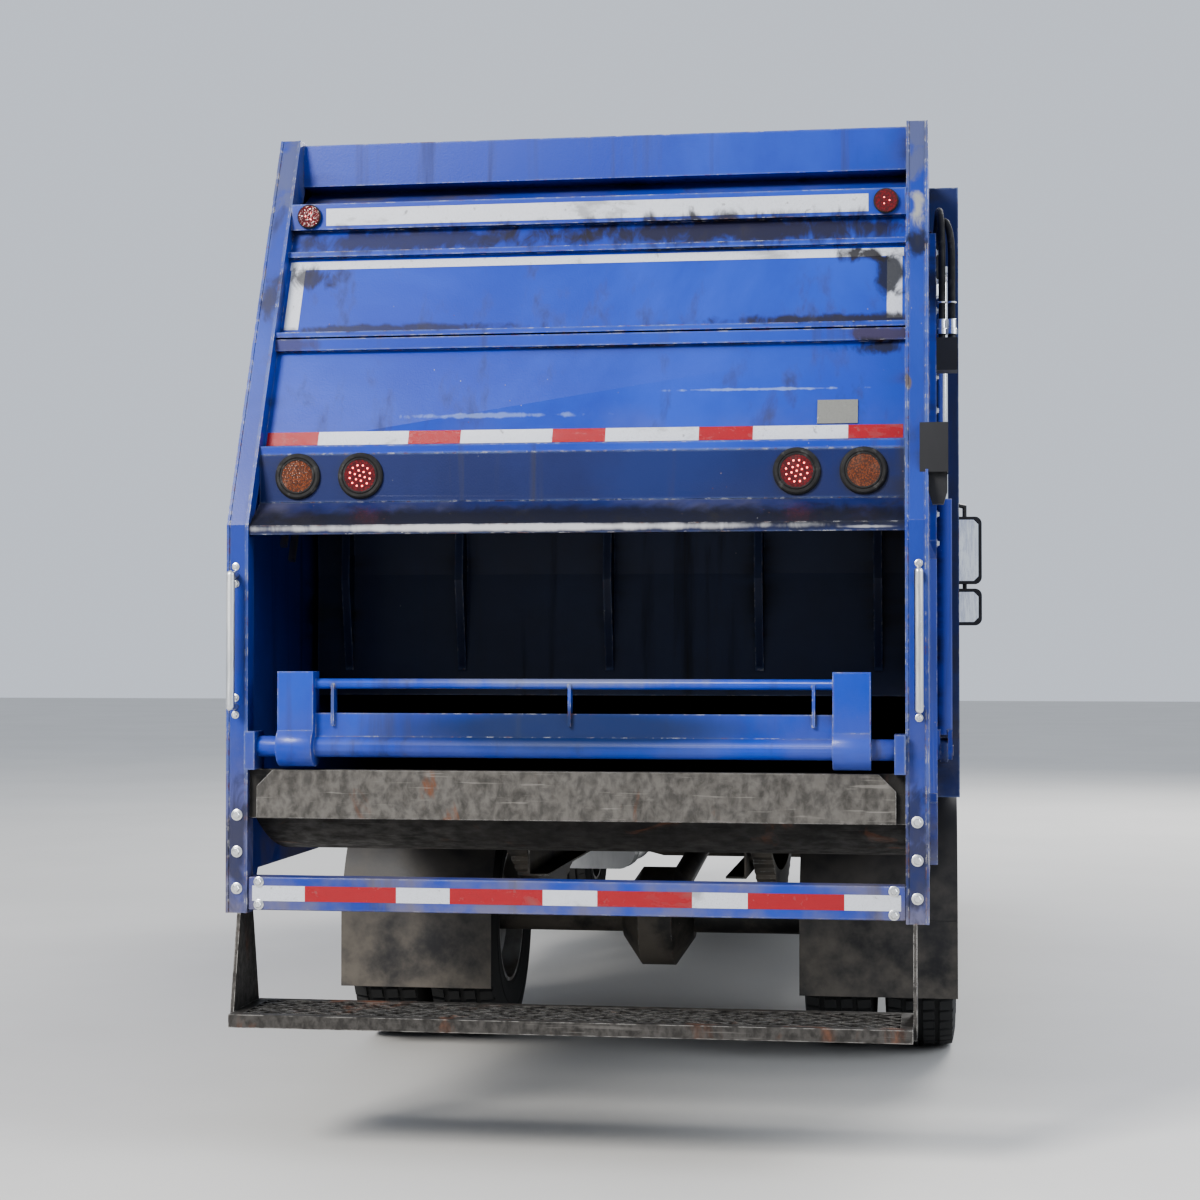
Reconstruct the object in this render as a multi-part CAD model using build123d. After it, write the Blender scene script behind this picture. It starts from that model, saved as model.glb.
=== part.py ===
from build123d import *
import os
from math import cos, hypot, radians, sin, sqrt

# Rear-loading refuse truck: two axles, tilting flat-front cab, ribbed steel body and a lifting tailgate.
# Millimetres. +Y is forwards, +X is the truck's right side, +Z is up and z = 0 is the road.

# Clearances
fit_gap = 0.3  # a pin, rod or shoe in its seat
panel_gap = 8  # between a moving panel and its neighbour
free_gap = 6  # between other moving pieces

# Wheels
tyre_radius = 512
tyre_width = 285
shoulder = 34
bead_radius = 286
rim_width = 260
rim_wall = 14
disc_offset = 162  # wheel centre plane to the mounting face
disc_wall = 14
disc_cone_radius = 205
hand_hole_radius = 26
hand_hole_count = 8
hand_hole_pitch = 238
front_wheel_x = 1040
inner_twin_x = 770
drum_radius = 196
hub_nose_radius = 98

# Steering and front axle
kingpin_x = 890
kingpin_radius = 25
boss_radius = 48
boss_height = 110
ear_height = 32
spindle_radius = 45
front_spindle_reach = 185  # outboard from the web of the knuckle
front_beam_width = 90
front_beam_height = 85
front_beam_drop = 90

# Rear axle
axle_tube_radius = 68
rear_spindle_radius = 55
differential_radius = 205
differential_nose = 330

# Chassis frame
wheelbase = 4300
front_overhang = 1340  # front axle to the face of the bumper
rail_top = 1020
rail_height = 270
rail_flange = 80
rail_plate = 8
rail_outer = 430
rear_overhang = 780  # rear axle to the end of the rails
cross_tube_radius = 50
leaf_width = 80
leaf_thickness = 15
front_leaf_half_span = 750
rear_leaf_half_span = 700
leaf_sag = 130

# Cab
cab_length = 1700
cab_setback = 50  # bumper face to the front of the cab
cab_half_width = 1150
cab_wall = 55
cab_bottom = 1010
cab_floor_bottom = 1175
cab_floor_thickness = 60
cab_roof_top = 2760
cab_corner_radius = 170
roof_corner_radius = 110
windscreen_bottom = 1720
windscreen_top = 2490
windscreen_half_width = 1010
header_bottom = 2568
front_pillar = 165  # front of the cab to the door
door_length = 1000
window_bottom = 1760
window_top = 2440
glass_inset = 14
glass_thickness = 6
arch_radius = 665
door_hinges = (1330, 2250)  # heights
door_pin_radius = 11
tilt_pin_z = 1085
tilt_pin_setback = 100  # behind the front of the cab
tilt_pin_radius = 25
mirror_reach = 190  # door to the middle of the mirrors' upright tube
mirror_width = 200
mirror_drop = 68  # header's lower edge to the top of the main mirror
mirror_height = 440
wide_mirror_height = 240
mirror_spacing = 30
driver_x = 600
driver_seat_width = 500
bench_width = 920
bench_x = 420
seat_base_height = 300  # cab floor to the cushion
seat_back_height = 1060
dash_bottom = 1440
dash_depth = 320
dash_drop = 62  # windscreen's lower edge to the dashboard's top
steering_wheel_radius = 220
steering_wheel_rim = 16
steering_wheel_height = 465  # above the cab floor
steering_wheel_setback = 480  # behind the front wall

# Tanks and boxes on the frame
tank_width = 540
tank_corner = 90
tank_length = 860
tank_setback = 700  # behind the front axle
tank_gap = 40  # frame rail to the tank
battery_length = 640
battery_setback = 760
battery_side_gap = 260  # body's side to the battery box
battery_height = 390
air_tank_radius = 125
air_tank_length = 560
air_tank_pitch = 290
guard_rail_height = 110
guard_rail_bottoms = (480, 740)
guard_axle_gap = 640  # rear axle to the end of the side guards

# Bumper and steps
bumper_top = 950
bumper_bottom = 430
bumper_depth = 230
mudguard_gap = 112  # tyre to front mudguard
mudguard_wall = 5
twin_guard_setback = 8  # body's side to the edge of the rear mudguards

# Air intake behind the cab
intake_width = 190
intake_depth = 120
intake_gap = 60  # cab's back to the intake
intake_height = 1600

# Load body
body_gap = 260  # between the cab and the body
body_length = 4350
body_half_width = 1250
body_skin = 14
body_rib_depth = 55
body_rib_width = 80
rib_slant = 16  # each side of a folded rib leans in by this
body_rib_pitch = 610
subframe_height = 110
bearer_height = 60
floor_plate = 20
body_height = 2230  # floor plate to the top of the roof
roof_chamfer = 170
rear_post_depth = 120
rear_post_width = 104
header_height = 170
header_rise = 50  # above the roof

# Tailgate
tail_side_setback = 110  # body's side to the tailgate's side
tail_plate = 30
tail_depth = 1700  # body to the rear face of the sill
tail_rise = 20  # tailgate's top above the body's header
tail_top_depth = 1080
tail_break_z = 2050
tail_bottom = 780
post_width = 73
post_depth = 60
post_lip = 9  # folded lips along the posts' edges
post_lip_rise = 4
skin_inset = 50
skin_plate = 10
skin_top_drop = 252  # tailgate's top to the top of its sloping skin
skin_bottom_z = 2290
header_plate_drop = 150  # tailgate's top to the lower edge of its header plate
side_rib_rise = 26  # stiffeners on the outside of the tailgate's sides
side_rib_width = 70
guide_cover_width = 140
hopper_band_width = 40
hopper_band_span = (226, 310)  # degrees round the hopper's curve
hinge_pin_rise = 75  # above the body's header
hinge_pin_radius = 30
hinge_setback = 20  # hinge axis ahead of the rear face of the body

# Hopper
hopper_front_gap = 150  # body to the front end of the hopper's curve
hopper_overrun = 150  # how far the whole curve would reach behind the sill
blade_centre_z = 1800
hopper_plate = 12
sill_top = 1250
sill_height = 160
sill_plate_thickness = 20
sill_side_gap = 29  # post to the end of the wear plate
sill_corner = 55

# Packer
carriage_stroke = 560
carriage_depth = 150
carriage_pin_gap = 20  # blade's hub to the carriage's box
packer_gap = 24  # carriage's box to the barrels
packer_x = 560
barrel_radius = 62
barrel_bore = 36
barrel_length = 700
barrel_rest = 120  # blade's pin to the barrel's gland, carriage up
guide_bar = 24
guide_depth = 22
guide_end = 30  # guides run on past the shoes
guide_inset = 54  # carriage's back to the middle of its shoes
carriage_side_gap = 28
carriage_length = 760
carriage_foot = 15  # carriage's box below the blade's pin
blade_tip_gap = 12
blade_pin_radius = 40
blade_hub_radius = 75
shoe_height = 90

# Bin lifter
lifter_shaft_rise = 75
lifter_shaft_radius = 34
lifter_arm_gap = 167  # post's inner face to the middle of a lifter arm
lifter_arm_width = 120
lifter_arm_depth = 76
lifter_arm_height = 245
comb_height = 110
comb_tube_rise = 205  # shaft to the tube across the comb
comb_tube_radius = 17
comb_flat_gap = 120  # middle of an arm to the nearest upright of the comb

# Cylinders on the outside of the tailgate
lift_cylinder_gap = 50  # tailgate's side to the cylinder's middle
lift_barrel_radius = 32
lift_barrel_length = 960
lift_rod_radius = 18
lift_foot_depth = 92
lift_foot_z = 1255
lift_eye_depth = 200
lift_eye_z = 3060

# Boxes on the right side of the tailgate
button_box_width = 63  # outside the tailgate's side
button_box_depth = 120
button_box_z = (2205, 2363)
boot_height = 100
valve_box_width = 74
valve_box_depth = 110
valve_box_z = (2618, 2732)

# Rear bar and step
bar_bottom = 790
bar_height = 108
step_z = 470
step_frame = 42
step_depth = 350
step_reach = 130  # behind the sill
step_side_inset = 50

# Places along the truck, worked out from the sizes above
rear_reach = front_overhang - cab_setback - cab_length - body_gap - body_length - tail_depth - step_reach
front_axle_y = (-rear_reach - front_overhang) / 2
rear_axle_y = front_axle_y - wheelbase
bumper_y = front_axle_y + front_overhang
cab_front_y = bumper_y - cab_setback
cab_back_y = cab_front_y - cab_length
body_front_y = cab_back_y - body_gap
body_rear_y = body_front_y - body_length
sill_y = body_rear_y - tail_depth
door_front_y = cab_front_y - front_pillar
door_back_y = door_front_y - door_length
tilt_pin_y = cab_front_y - tilt_pin_setback
axle_z = tyre_radius
rail_front_y = tilt_pin_y - 60
rail_bottom = rail_top - rail_height
rail_inner = rail_outer - rail_flange
floor_top = rail_top + subframe_height + floor_plate
body_top = floor_top + body_height
header_top = body_top + header_rise
tail_top = header_top + tail_rise
skin_top_z = tail_top - skin_top_drop
hinge_pin_z = header_top + hinge_pin_rise
body_inner_x = body_half_width - body_rib_depth - body_skin
outer_twin_x = inner_twin_x + 2 * disc_offset
cab_floor_top = cab_floor_bottom + cab_floor_thickness
hinge_pin_y = body_rear_y + hinge_setback
tail_half_width = body_half_width - tail_side_setback
tail_inner_x = tail_half_width - tail_plate
post_inner_x = tail_half_width - post_width
sill_half_width = post_inner_x - sill_side_gap
lift_cylinder_x = tail_half_width + lift_cylinder_gap
lifter_arm_x = post_inner_x - lifter_arm_gap
comb_flat_x = lifter_arm_x - comb_flat_gap
step_half_width = tail_half_width - step_side_inset
hopper_radius = (tail_depth - hopper_front_gap + hopper_overrun) / 2
blade_centre_depth = hopper_front_gap + hopper_radius
blade_radius = hopper_radius - blade_tip_gap
lifter_shaft_y = sill_y + 10
lifter_shaft_z = sill_top + lifter_shaft_rise

door_z = (cab_bottom + 4, header_bottom - panel_gap)
door_pin_x = cab_half_width + 24
door_pin_y = door_front_y + 4

# Slope of the tailgate's back, as a unit vector down and rearwards
slope_length = hypot(tail_depth - tail_top_depth, tail_top - tail_break_z)
slope_rear = (tail_depth - tail_top_depth) / slope_length
slope_down = (tail_top - tail_break_z) / slope_length
blade_pin_y = body_rear_y - (blade_centre_depth - carriage_stroke * slope_rear)
blade_pin_z = blade_centre_z + carriage_stroke * slope_down


# Shared shapes


def block(x, y, z):
    """A box between (low, high) limits on each axis."""
    size = Box(x[1] - x[0], y[1] - y[0], z[1] - z[0])
    return Pos((x[0] + x[1]) / 2, (y[0] + y[1]) / 2, (z[0] + z[1]) / 2) * size


def side_plate(points, x):
    """An outline of (y, z) points, solid between two x limits."""
    outline = Plane.YZ * make_face(Polyline(*points, close=True))
    return Pos(x[0], 0, 0) * extrude(outline, amount=x[1] - x[0])


def cross_plate(points, y):
    """An outline of (x, z) points, solid between two y limits."""
    outline = Plane.XZ * make_face(Polyline(*points, close=True))
    return Pos(0, y[1], 0) * extrude(outline, amount=y[1] - y[0])


def turned(points, centre):
    """(along, radius) points turned about a line parallel to X through a centre."""
    ring = revolve(make_face(Polyline(*points, close=True)), axis=Axis.X)
    return Pos(*centre) * ring


def bar(start, end, radius):
    """A round bar from one point to another."""
    run = Vector(*end) - Vector(*start)
    seat = Plane(origin=start, z_dir=run)
    return seat * Cylinder(radius, run.length, align=(Align.CENTER, Align.CENTER, Align.MIN))


def folded_rib(x, y, z):
    """An upright rib of folded plate on a side; x is (foot, face), and the face is the narrower."""
    corners = [(x[0], y[0]), (x[1], y[0] + rib_slant), (x[1], y[1] - rib_slant), (x[0], y[1])]
    return Pos(0, 0, z[0]) * extrude(make_face(Polyline(*corners, close=True)), amount=z[1] - z[0])


def cross_bar(x, y, z, radius):
    """A round bar along X between two x limits."""
    return bar((x[0], y, z), (x[1], y, z), radius)


def mirrored(shape):
    """The same shape on the truck's other side."""
    return mirror(shape, about=Plane.YZ)


def pair(shape):
    """A shape and its mirror image as separate solids."""
    return Compound([*shape.solids(), *mirrored(shape).solids()])


def joined(shapes):
    """All shapes fused."""
    shapes = list(shapes)
    return shapes[0] + shapes[1:]


def arc_strip(centre, radius, wall, span, x):
    """A curved strip about a line along X; span is (low, high) in degrees from +Y."""
    ring = cross_bar(x, centre[0], centre[1], radius + wall) - cross_bar(x, centre[0], centre[1], radius)
    reach = 3 * radius
    middle = radians((span[0] + span[1]) / 2)
    half = radians((span[1] - span[0]) / 2)
    tip = reach / cos(half)
    wedge = [
        centre,
        (centre[0] + tip * cos(middle - half), centre[1] + tip * sin(middle - half)),
        (centre[0] + tip * cos(middle + half), centre[1] + tip * sin(middle + half)),
    ]
    return ring & side_plate(wedge, x)


def tail_outline_depth(z):
    """How far behind the body the tailgate's back edge lies at a height."""
    if z <= tail_break_z:
        return tail_depth
    return tail_depth - (z - tail_break_z) * slope_rear / slope_down


def slope_point(z, inset):
    """(y, z) of a point at a height, inset at right angles from the sloping back edge."""
    return (body_rear_y - tail_outline_depth(z) + inset / slope_down, z)


# Wheels and axles


def tyre(x):
    half = tyre_width / 2
    outline = [
        (-half + 20, bead_radius),
        (half - 20, bead_radius),
        (half, bead_radius + 90),
        (half - 8, tyre_radius - shoulder),
        (half - shoulder, tyre_radius),
        (shoulder - half, tyre_radius),
        (8 - half, tyre_radius - shoulder),
        (-half, bead_radius + 90),
    ]
    return turned(outline, (x, 0, axle_z))


def wheel_disc(x, outwards):
    """A disc wheel centred at x; outwards is +1 where its face looks away from the truck."""
    inner = bead_radius - rim_wall
    half = rim_width / 2
    face = disc_offset
    outline = [
        (-half, bead_radius),
        (half, bead_radius),
        (half, inner),
        (half - 18, inner),
        (face, disc_cone_radius),
        (face, spindle_radius + 20),
        (face - disc_wall, spindle_radius + 20),
        (face - disc_wall, disc_cone_radius - 6),
        (half - 18 - disc_wall, inner),
        (-half, inner),
    ]
    wheel = turned([(along * outwards, radius) for along, radius in outline], (0, 0, axle_z))
    for index in range(hand_hole_count):
        angle = 2 * 3.14159265 * (index + 0.5) / hand_hole_count
        hole = cross_bar(
            (-disc_offset - 40, disc_offset + 40),
            hand_hole_pitch * cos(angle),
            axle_z + hand_hole_pitch * sin(angle),
            hand_hole_radius,
        )
        keep = block((-half, half), (-tyre_radius, tyre_radius), (0, 2 * tyre_radius))
        wheel -= hole - (keep & Pos(-outwards * 60, 0, 0) * keep)
    return Pos(x, 0, 0) * wheel


def hub(face_x, inner_x, nose, bore_radius, bore_end):
    """Brake drum and hub: a drum inboard of the mounting face, and a nose outboard of it."""
    outline = [
        (inner_x, bore_radius),
        (inner_x, drum_radius),
        (face_x - disc_wall, drum_radius),
        (face_x - disc_wall, hub_nose_radius + 70),
        (face_x, hub_nose_radius),
        (face_x + nose - 14, hub_nose_radius),
        (face_x + nose, hub_nose_radius - 14),
        (face_x + nose, 0),
        (bore_end, 0),
        (bore_end, bore_radius),
    ]
    return turned(outline, (0, 0, axle_z))


web_x = kingpin_x + boss_radius + free_gap
web_thickness = 12
front_face_x = front_wheel_x + disc_offset
rear_face_x = inner_twin_x + disc_offset
front_bore_end = web_x + front_spindle_reach + 8
rear_bore_end = rear_face_x + 96


def front_wheel():
    """Disc wheel and hub of the right front wheel, at y = 0."""
    return wheel_disc(front_wheel_x, 1) + hub(
        front_face_x, web_x + web_thickness + free_gap, 34, spindle_radius + fit_gap, front_bore_end
    )


def rear_wheels():
    """The right pair of disc wheels, face to face, with their hub."""
    return (
        wheel_disc(inner_twin_x, 1)
        + wheel_disc(outer_twin_x, -1)
        + hub(rear_face_x, rear_face_x - 235, 150, rear_spindle_radius + fit_gap, rear_bore_end)
    )


def knuckle():
    """Right steering knuckle: two ears on the kingpin, a web and the wheel's spindle."""
    low = axle_z - boss_height / 2 - fit_gap
    high = axle_z + boss_height / 2 + fit_gap
    half = boss_radius + 4
    ears = joined(
        block((kingpin_x, web_x + web_thickness), (-half, half), limits)
        + Pos(kingpin_x, 0, (limits[0] + limits[1]) / 2) * Cylinder(half, ear_height)
        for limits in ((low - ear_height, low), (high, high + ear_height))
    )
    web = block((web_x, web_x + web_thickness), (-half, half), (low - ear_height, high + ear_height))
    pin = bar((kingpin_x, 0, low - ear_height), (kingpin_x, 0, high + ear_height), kingpin_radius)
    spindle = cross_bar((web_x + 2, web_x + front_spindle_reach), 0, axle_z, spindle_radius)
    return ears + web + pin + spindle


def front_axle():
    """Dropped beam between the kingpin bosses."""
    half = front_beam_height / 2
    inner = rail_outer + 60
    outer = kingpin_x - boss_radius + 6
    upper = [(-outer, axle_z + half), (-inner, axle_z + half - front_beam_drop)]
    upper += [(-x, z) for x, z in reversed(upper)]
    lower = [(x, z - front_beam_height) for x, z in reversed(upper)]
    half = front_beam_width / 2
    beam = cross_plate(upper + lower, (front_axle_y - half, front_axle_y + half))
    boss = Pos(kingpin_x, front_axle_y, axle_z) * Cylinder(boss_radius, boss_height)
    hole = Pos(kingpin_x, front_axle_y, axle_z) * Cylinder(kingpin_radius + fit_gap, 2 * boss_height)
    return beam + boss + mirrored(boss) - hole - mirrored(hole)


def rear_axle():
    """Round axle case with its differential and two spindles."""
    inner = rear_face_x - 235 - free_gap
    tube = cross_bar((-inner, inner), rear_axle_y, axle_z, axle_tube_radius)
    spindles = cross_bar((8 - rear_bore_end, rear_bore_end - 8), rear_axle_y, axle_z, rear_spindle_radius)
    bowl = turned(
        [(-150, 0), (-150, 90), (-70, differential_radius), (70, differential_radius), (150, 90), (150, 0)],
        (0, rear_axle_y, axle_z),
    )
    nose = bar((0, rear_axle_y, axle_z), (0, rear_axle_y + differential_nose, axle_z + 20), 95)
    return tube + spindles + bowl + nose


def leaf_pack(axle_y, bottom_z, half_span, leaves, x):
    """Curved leaves, the longest on top, with an eye at each end and a block down to the axle."""
    radius = (half_span**2 + leaf_sag**2) / (2 * leaf_sag)
    top = bottom_z + leaves * leaf_thickness
    centre_z = top + radius
    pack = []
    for index in range(leaves):
        reach = half_span * (1 - 0.8 * index / leaves)
        inner = radius + index * leaf_thickness
        ring = cross_bar(x, axle_y, centre_z, inner + leaf_thickness) - cross_bar(x, axle_y, centre_z, inner)
        pack.append(ring & block(x, (axle_y - reach, axle_y + reach), (bottom_z - 1, top + leaf_sag)))
    eye_z = top + leaf_sag
    for end in (-1, 1):
        pack.append(cross_bar(x, axle_y + end * half_span, eye_z, 26))
    return joined(pack)


front_leaf_z = axle_z + front_beam_height / 2 - front_beam_drop + 22
rear_leaf_z = axle_z + axle_tube_radius + 22
rear_leaf_x = (rail_outer + 14, rail_outer + 14 + leaf_width)
front_leaves = 5
rear_leaves = 8


def leaf_springs():
    """Four leaf packs, each on its axle pad."""
    rail_x = (rail_inner, rail_outer)
    front = leaf_pack(front_axle_y, front_leaf_z, front_leaf_half_span, front_leaves, rail_x)
    front += block(
        rail_x, (front_axle_y - 70, front_axle_y + 70), (front_leaf_z - 22, front_leaf_z + 10)
    )
    rear = leaf_pack(rear_axle_y, rear_leaf_z, rear_leaf_half_span, rear_leaves, rear_leaf_x)
    pad = block(rear_leaf_x, (rear_axle_y - 80, rear_axle_y + 80), (axle_z, rear_leaf_z + 10))
    rear += pad - cross_bar((0, 2 * body_half_width), rear_axle_y, axle_z, axle_tube_radius)
    return Compound([*pair(front).solids(), *pair(rear).solids()])


# Chassis


def rail():
    """Right frame rail, a channel open inwards."""
    y = (rear_axle_y - rear_overhang, rail_front_y)
    solid = block((rail_inner, rail_outer), y, (rail_bottom, rail_top))
    hollow = block(
        (rail_inner - 1, rail_outer - rail_plate), y, (rail_bottom + rail_plate, rail_top - rail_plate)
    )
    return solid - hollow


def chassis_frame():
    """Both rails with their cross members, spring hangers and the cab's tilt brackets."""
    frame = rail()
    front_eye_z = front_leaf_z + front_leaves * leaf_thickness + leaf_sag
    rear_eye_z = rear_leaf_z + rear_leaves * leaf_thickness + leaf_sag
    for end in (-1, 1):
        y = front_axle_y + end * front_leaf_half_span
        frame += block((rail_inner, rail_outer), (y - 34, y + 34), (front_eye_z + 26, rail_bottom + 4))
        y = rear_axle_y + end * rear_leaf_half_span
        frame += block((rail_outer - 4, rear_leaf_x[1]), (y - 34, y + 34), (rear_eye_z + 26, rear_eye_z + 70))
    bracket = side_plate(
        [
            (rail_front_y - 120, rail_top - 4),
            (rail_front_y, rail_top - 4),
            (tilt_pin_y + 10, tilt_pin_z - 38),
            (tilt_pin_y, tilt_pin_z + 40),
        ],
        (rail_inner, rail_outer),
    )
    bracket += cross_bar((rail_inner, rail_outer), tilt_pin_y, tilt_pin_z, 40)
    bracket -= cross_bar((0, cab_half_width), tilt_pin_y, tilt_pin_z, tilt_pin_radius + fit_gap)
    frame += bracket
    frame += block(
        (rail_inner, rail_outer),
        (cab_back_y + 80, cab_back_y + 200),
        (rail_top - 4, cab_floor_bottom - free_gap),
    )
    frame = frame + mirrored(frame)
    inner = rail_outer - rail_plate
    low_y = rear_axle_y - rear_overhang + 220
    tubes = [low_y, rear_axle_y - 520, rear_axle_y + 520, rear_axle_y + 1500, front_axle_y - 1270]
    for y in tubes:
        frame += cross_bar((-inner, inner), y, rail_top - 80, cross_tube_radius)
    frame += block((-inner, inner), (rail_front_y - 60, rail_front_y), (rail_bottom + 20, rail_top - 20))
    return frame


engine_y = (front_axle_y - 480, front_axle_y + 560)
gearbox_length = 700
prop_shaft_radius = 52


def powertrain():
    """Engine as one plain block, gearbox and propeller shaft."""
    engine = block((12 - rail_inner, rail_inner - 12), engine_y, (rail_bottom - 80, cab_floor_bottom - 25))
    box_z = rail_bottom + 60
    gearbox_y = engine_y[0] - gearbox_length
    gearbox = bar((0, engine_y[0] + 5, box_z), (0, gearbox_y, box_z - 20), 165)
    shaft = bar(
        (0, gearbox_y + 5, box_z - 20),
        (0, rear_axle_y + differential_nose + 6, axle_z + 24),
        prop_shaft_radius,
    )
    shape = engine + gearbox + shaft
    reach = rail_outer - rail_plate
    for y in (engine_y[0] + 120, engine_y[1] - 120):
        shape += block((-reach, reach), (y - 50, y + 50), (rail_top - 170, rail_top - 110))
    return Compound([*shape.solids(), *intake_stack().solids()])


def intake_stack():
    """Air intake that stands on the left rail behind the cab, with slots round its head."""
    foot_x = -rail_outer - fit_gap
    x = (foot_x - 20 - intake_width, foot_x - 20)
    y = (cab_back_y - intake_gap - intake_depth, cab_back_y - intake_gap)
    low = rail_top + 60
    high = low + intake_height
    stack = block((x[0], x[1]), y, (low, high))
    head = block((x[0] - 15, x[1] + 15), (y[0] - 15, y[1] + 15), (high - 260, high))
    head = chamfer(head.faces().sort_by(Axis.Z)[-1].edges(), 25)
    for index in range(5):
        slot_z = high - 230 + index * 38
        head -= block((x[0] - 20, x[0] + 10), (y[0] + 5, y[1] - 5), (slot_z, slot_z + 22))
    bracket = block((x[1] - 5, foot_x), (y[0] + 20, y[1] - 20), (rail_top - 180, low + 90))
    return stack + head + bracket


def bumper_outline(inset):
    """Plan of the bumper: straight face and swept corners."""
    half = cab_half_width - inset
    return [
        (-half, bumper_y - bumper_depth - 120),
        (-half, bumper_y - 130),
        (-half + 60, bumper_y - 50 - inset),
        (-half + 220, bumper_y - inset),
        (half - 220, bumper_y - inset),
        (half - 60, bumper_y - 50 - inset),
        (half, bumper_y - 130),
        (half, bumper_y - bumper_depth - 120),
    ]


lamp_x = (690, 1010)
lamp_z = (640, 830)


def front_bumper():
    """Hollow bumper with lamp pockets, an air slot and two brackets to the rails."""
    outer = make_face(Polyline(*bumper_outline(0), close=True))
    inner = make_face(Polyline(*bumper_outline(12), close=True))
    shell = Pos(0, 0, bumper_bottom) * extrude(outer, amount=bumper_top - bumper_bottom)
    hollow = Pos(0, 0, bumper_bottom + 12) * extrude(inner, amount=bumper_top - bumper_bottom - 24)
    shell -= hollow - block(
        (-cab_half_width, cab_half_width), (bumper_y - 110, bumper_y), (bumper_bottom, bumper_top)
    )
    shell -= block(
        (40 - cab_half_width, cab_half_width - 40), (bumper_y - 500, tilt_pin_y + 20), (0, 2 * bumper_top)
    )
    pocket = block(lamp_x, (bumper_y - 100, bumper_y + 50), lamp_z)
    shell -= pocket + mirrored(pocket)
    for low in (500, 575):
        shell -= block((-560, 560), (bumper_y - 60, bumper_y + 10), (low, low + 50))
    arm_z = (rail_bottom + 20, rail_bottom + 170)
    arm = block((rail_inner, rail_outer), (rail_front_y, bumper_y - 12), arm_z)
    return shell + arm + mirrored(arm)


def headlamps():
    """Lamp units in the bumper's pockets."""
    lamp = block(lamp_x, (bumper_y - 100, bumper_y - 62), lamp_z)
    for x, radius in ((lamp_x[0] + 95, 80), (lamp_x[1] - 75, 58)):
        z = (lamp_z[0] + lamp_z[1]) / 2
        lamp += bar((x, bumper_y - 64, z), (x, bumper_y - 46, z), radius)
    return pair(lamp)


step_box_y = (front_axle_y + 690, bumper_y - bumper_depth - 120)


def cab_steps():
    """Step boxes behind the bumper's corners, with two treads each, on an outrigger from the rail."""
    outline = [(rail_outer, bumper_bottom), (cab_half_width, bumper_bottom), (cab_half_width, bumper_top)]
    outline += [(cab_half_width - 60, bumper_top), (rail_outer + 120, bumper_top)]
    outline += [(rail_outer + 120, rail_top - 60), (rail_outer, rail_top - 60)]
    housing = cross_plate(outline, step_box_y)
    for low in (bumper_bottom + 30, bumper_bottom + 275):
        housing -= block(
            (cab_half_width - 190, cab_half_width + 1),
            (step_box_y[0] + 20, step_box_y[1] - 20),
            (low, low + 205),
        )
    return pair(housing)


def front_mudguards():
    """Arched guards over the front wheels, each on a stay from the rail."""
    radius = tyre_radius + mudguard_gap
    x = (front_wheel_x - tyre_width / 2 - 20, front_wheel_x + tyre_width / 2)
    guard = arc_strip((front_axle_y, axle_z), radius, mudguard_wall, (24, 156), x)
    stay_y = front_axle_y - radius * cos(radians(30))
    stay_z = axle_z + radius * sin(radians(30))
    stay = block((rail_outer, x[0] + 40), (stay_y - 26, stay_y - 8), (stay_z - 40, stay_z + 10))
    return pair(guard + stay)


tank_y = (front_axle_y - tank_setback - tank_length, front_axle_y - tank_setback)


def fuel_tank():
    """Rounded tank on the left rail, with a filler neck and two straps."""
    half = tank_width / 2
    centre_x = -(rail_outer + tank_gap + half)
    z = rail_top - tank_gap - half
    body = Pos(centre_x, (tank_y[0] + tank_y[1]) / 2, z) * Rot(90, 0, 0) * extrude(
        RectangleRounded(2 * half, 2 * half, tank_corner), amount=(tank_y[1] - tank_y[0]) / 2, both=True
    )
    neck = (centre_x - 150, tank_y[1] - 130)
    body += bar((*neck, z + half - 10), (*neck, z + half + 40), 55)
    for y in (tank_y[0] + 180, tank_y[1] - 220):
        strap = Pos(centre_x, y, z) * Rot(90, 0, 0) * extrude(
            RectangleRounded(2 * half + 10, 2 * half + 10, tank_corner + 4), amount=30, both=True
        )
        body += strap + block((centre_x, -rail_outer), (y - 30, y + 30), (z - 60, z + 60))
    return body


battery_y = (front_axle_y - battery_setback - battery_length, front_axle_y - battery_setback)


def battery_box():
    """Battery box and two air tanks on the right rail."""
    outer = body_half_width - battery_side_gap
    top = rail_top - 30
    case = block((rail_outer, outer), battery_y, (top - battery_height, top))
    lid = block((rail_outer + 40, outer + 15), (battery_y[0] - 12, battery_y[1] + 12), (top - 80, top + 10))
    shape = case + lid
    z = top - battery_height / 2 - 25
    for index in range(2):
        x = rail_outer + air_tank_radius + 35 + index * air_tank_pitch
        shape += bar((x, battery_y[0] + 5, z), (x, battery_y[0] - air_tank_length, z), air_tank_radius)
    return shape


def rear_mudguards():
    """Arched guards over the twin wheels, hung from the cross bearers, with a flap behind."""
    radius = rail_top + subframe_height - bearer_height - axle_z - mudguard_wall
    x = (inner_twin_x - tyre_width / 2 - 6, body_half_width - twin_guard_setback)
    guard = arc_strip((rear_axle_y, axle_z), radius, mudguard_wall, (14, 176), x)
    guard += block(x, (rear_axle_y - radius - mudguard_wall, rear_axle_y - radius + 3), (270, axle_z + 60))
    stay_y = rear_axle_y + radius * cos(radians(60))
    stay_z = axle_z + radius * sin(radians(60))
    guard += block((rail_outer, x[0] + 40), (stay_y + 2, stay_y + 20), (stay_z - 20, stay_z + 14))
    return pair(guard)


guard_x = (body_half_width - 70, body_half_width - 40)


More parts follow.
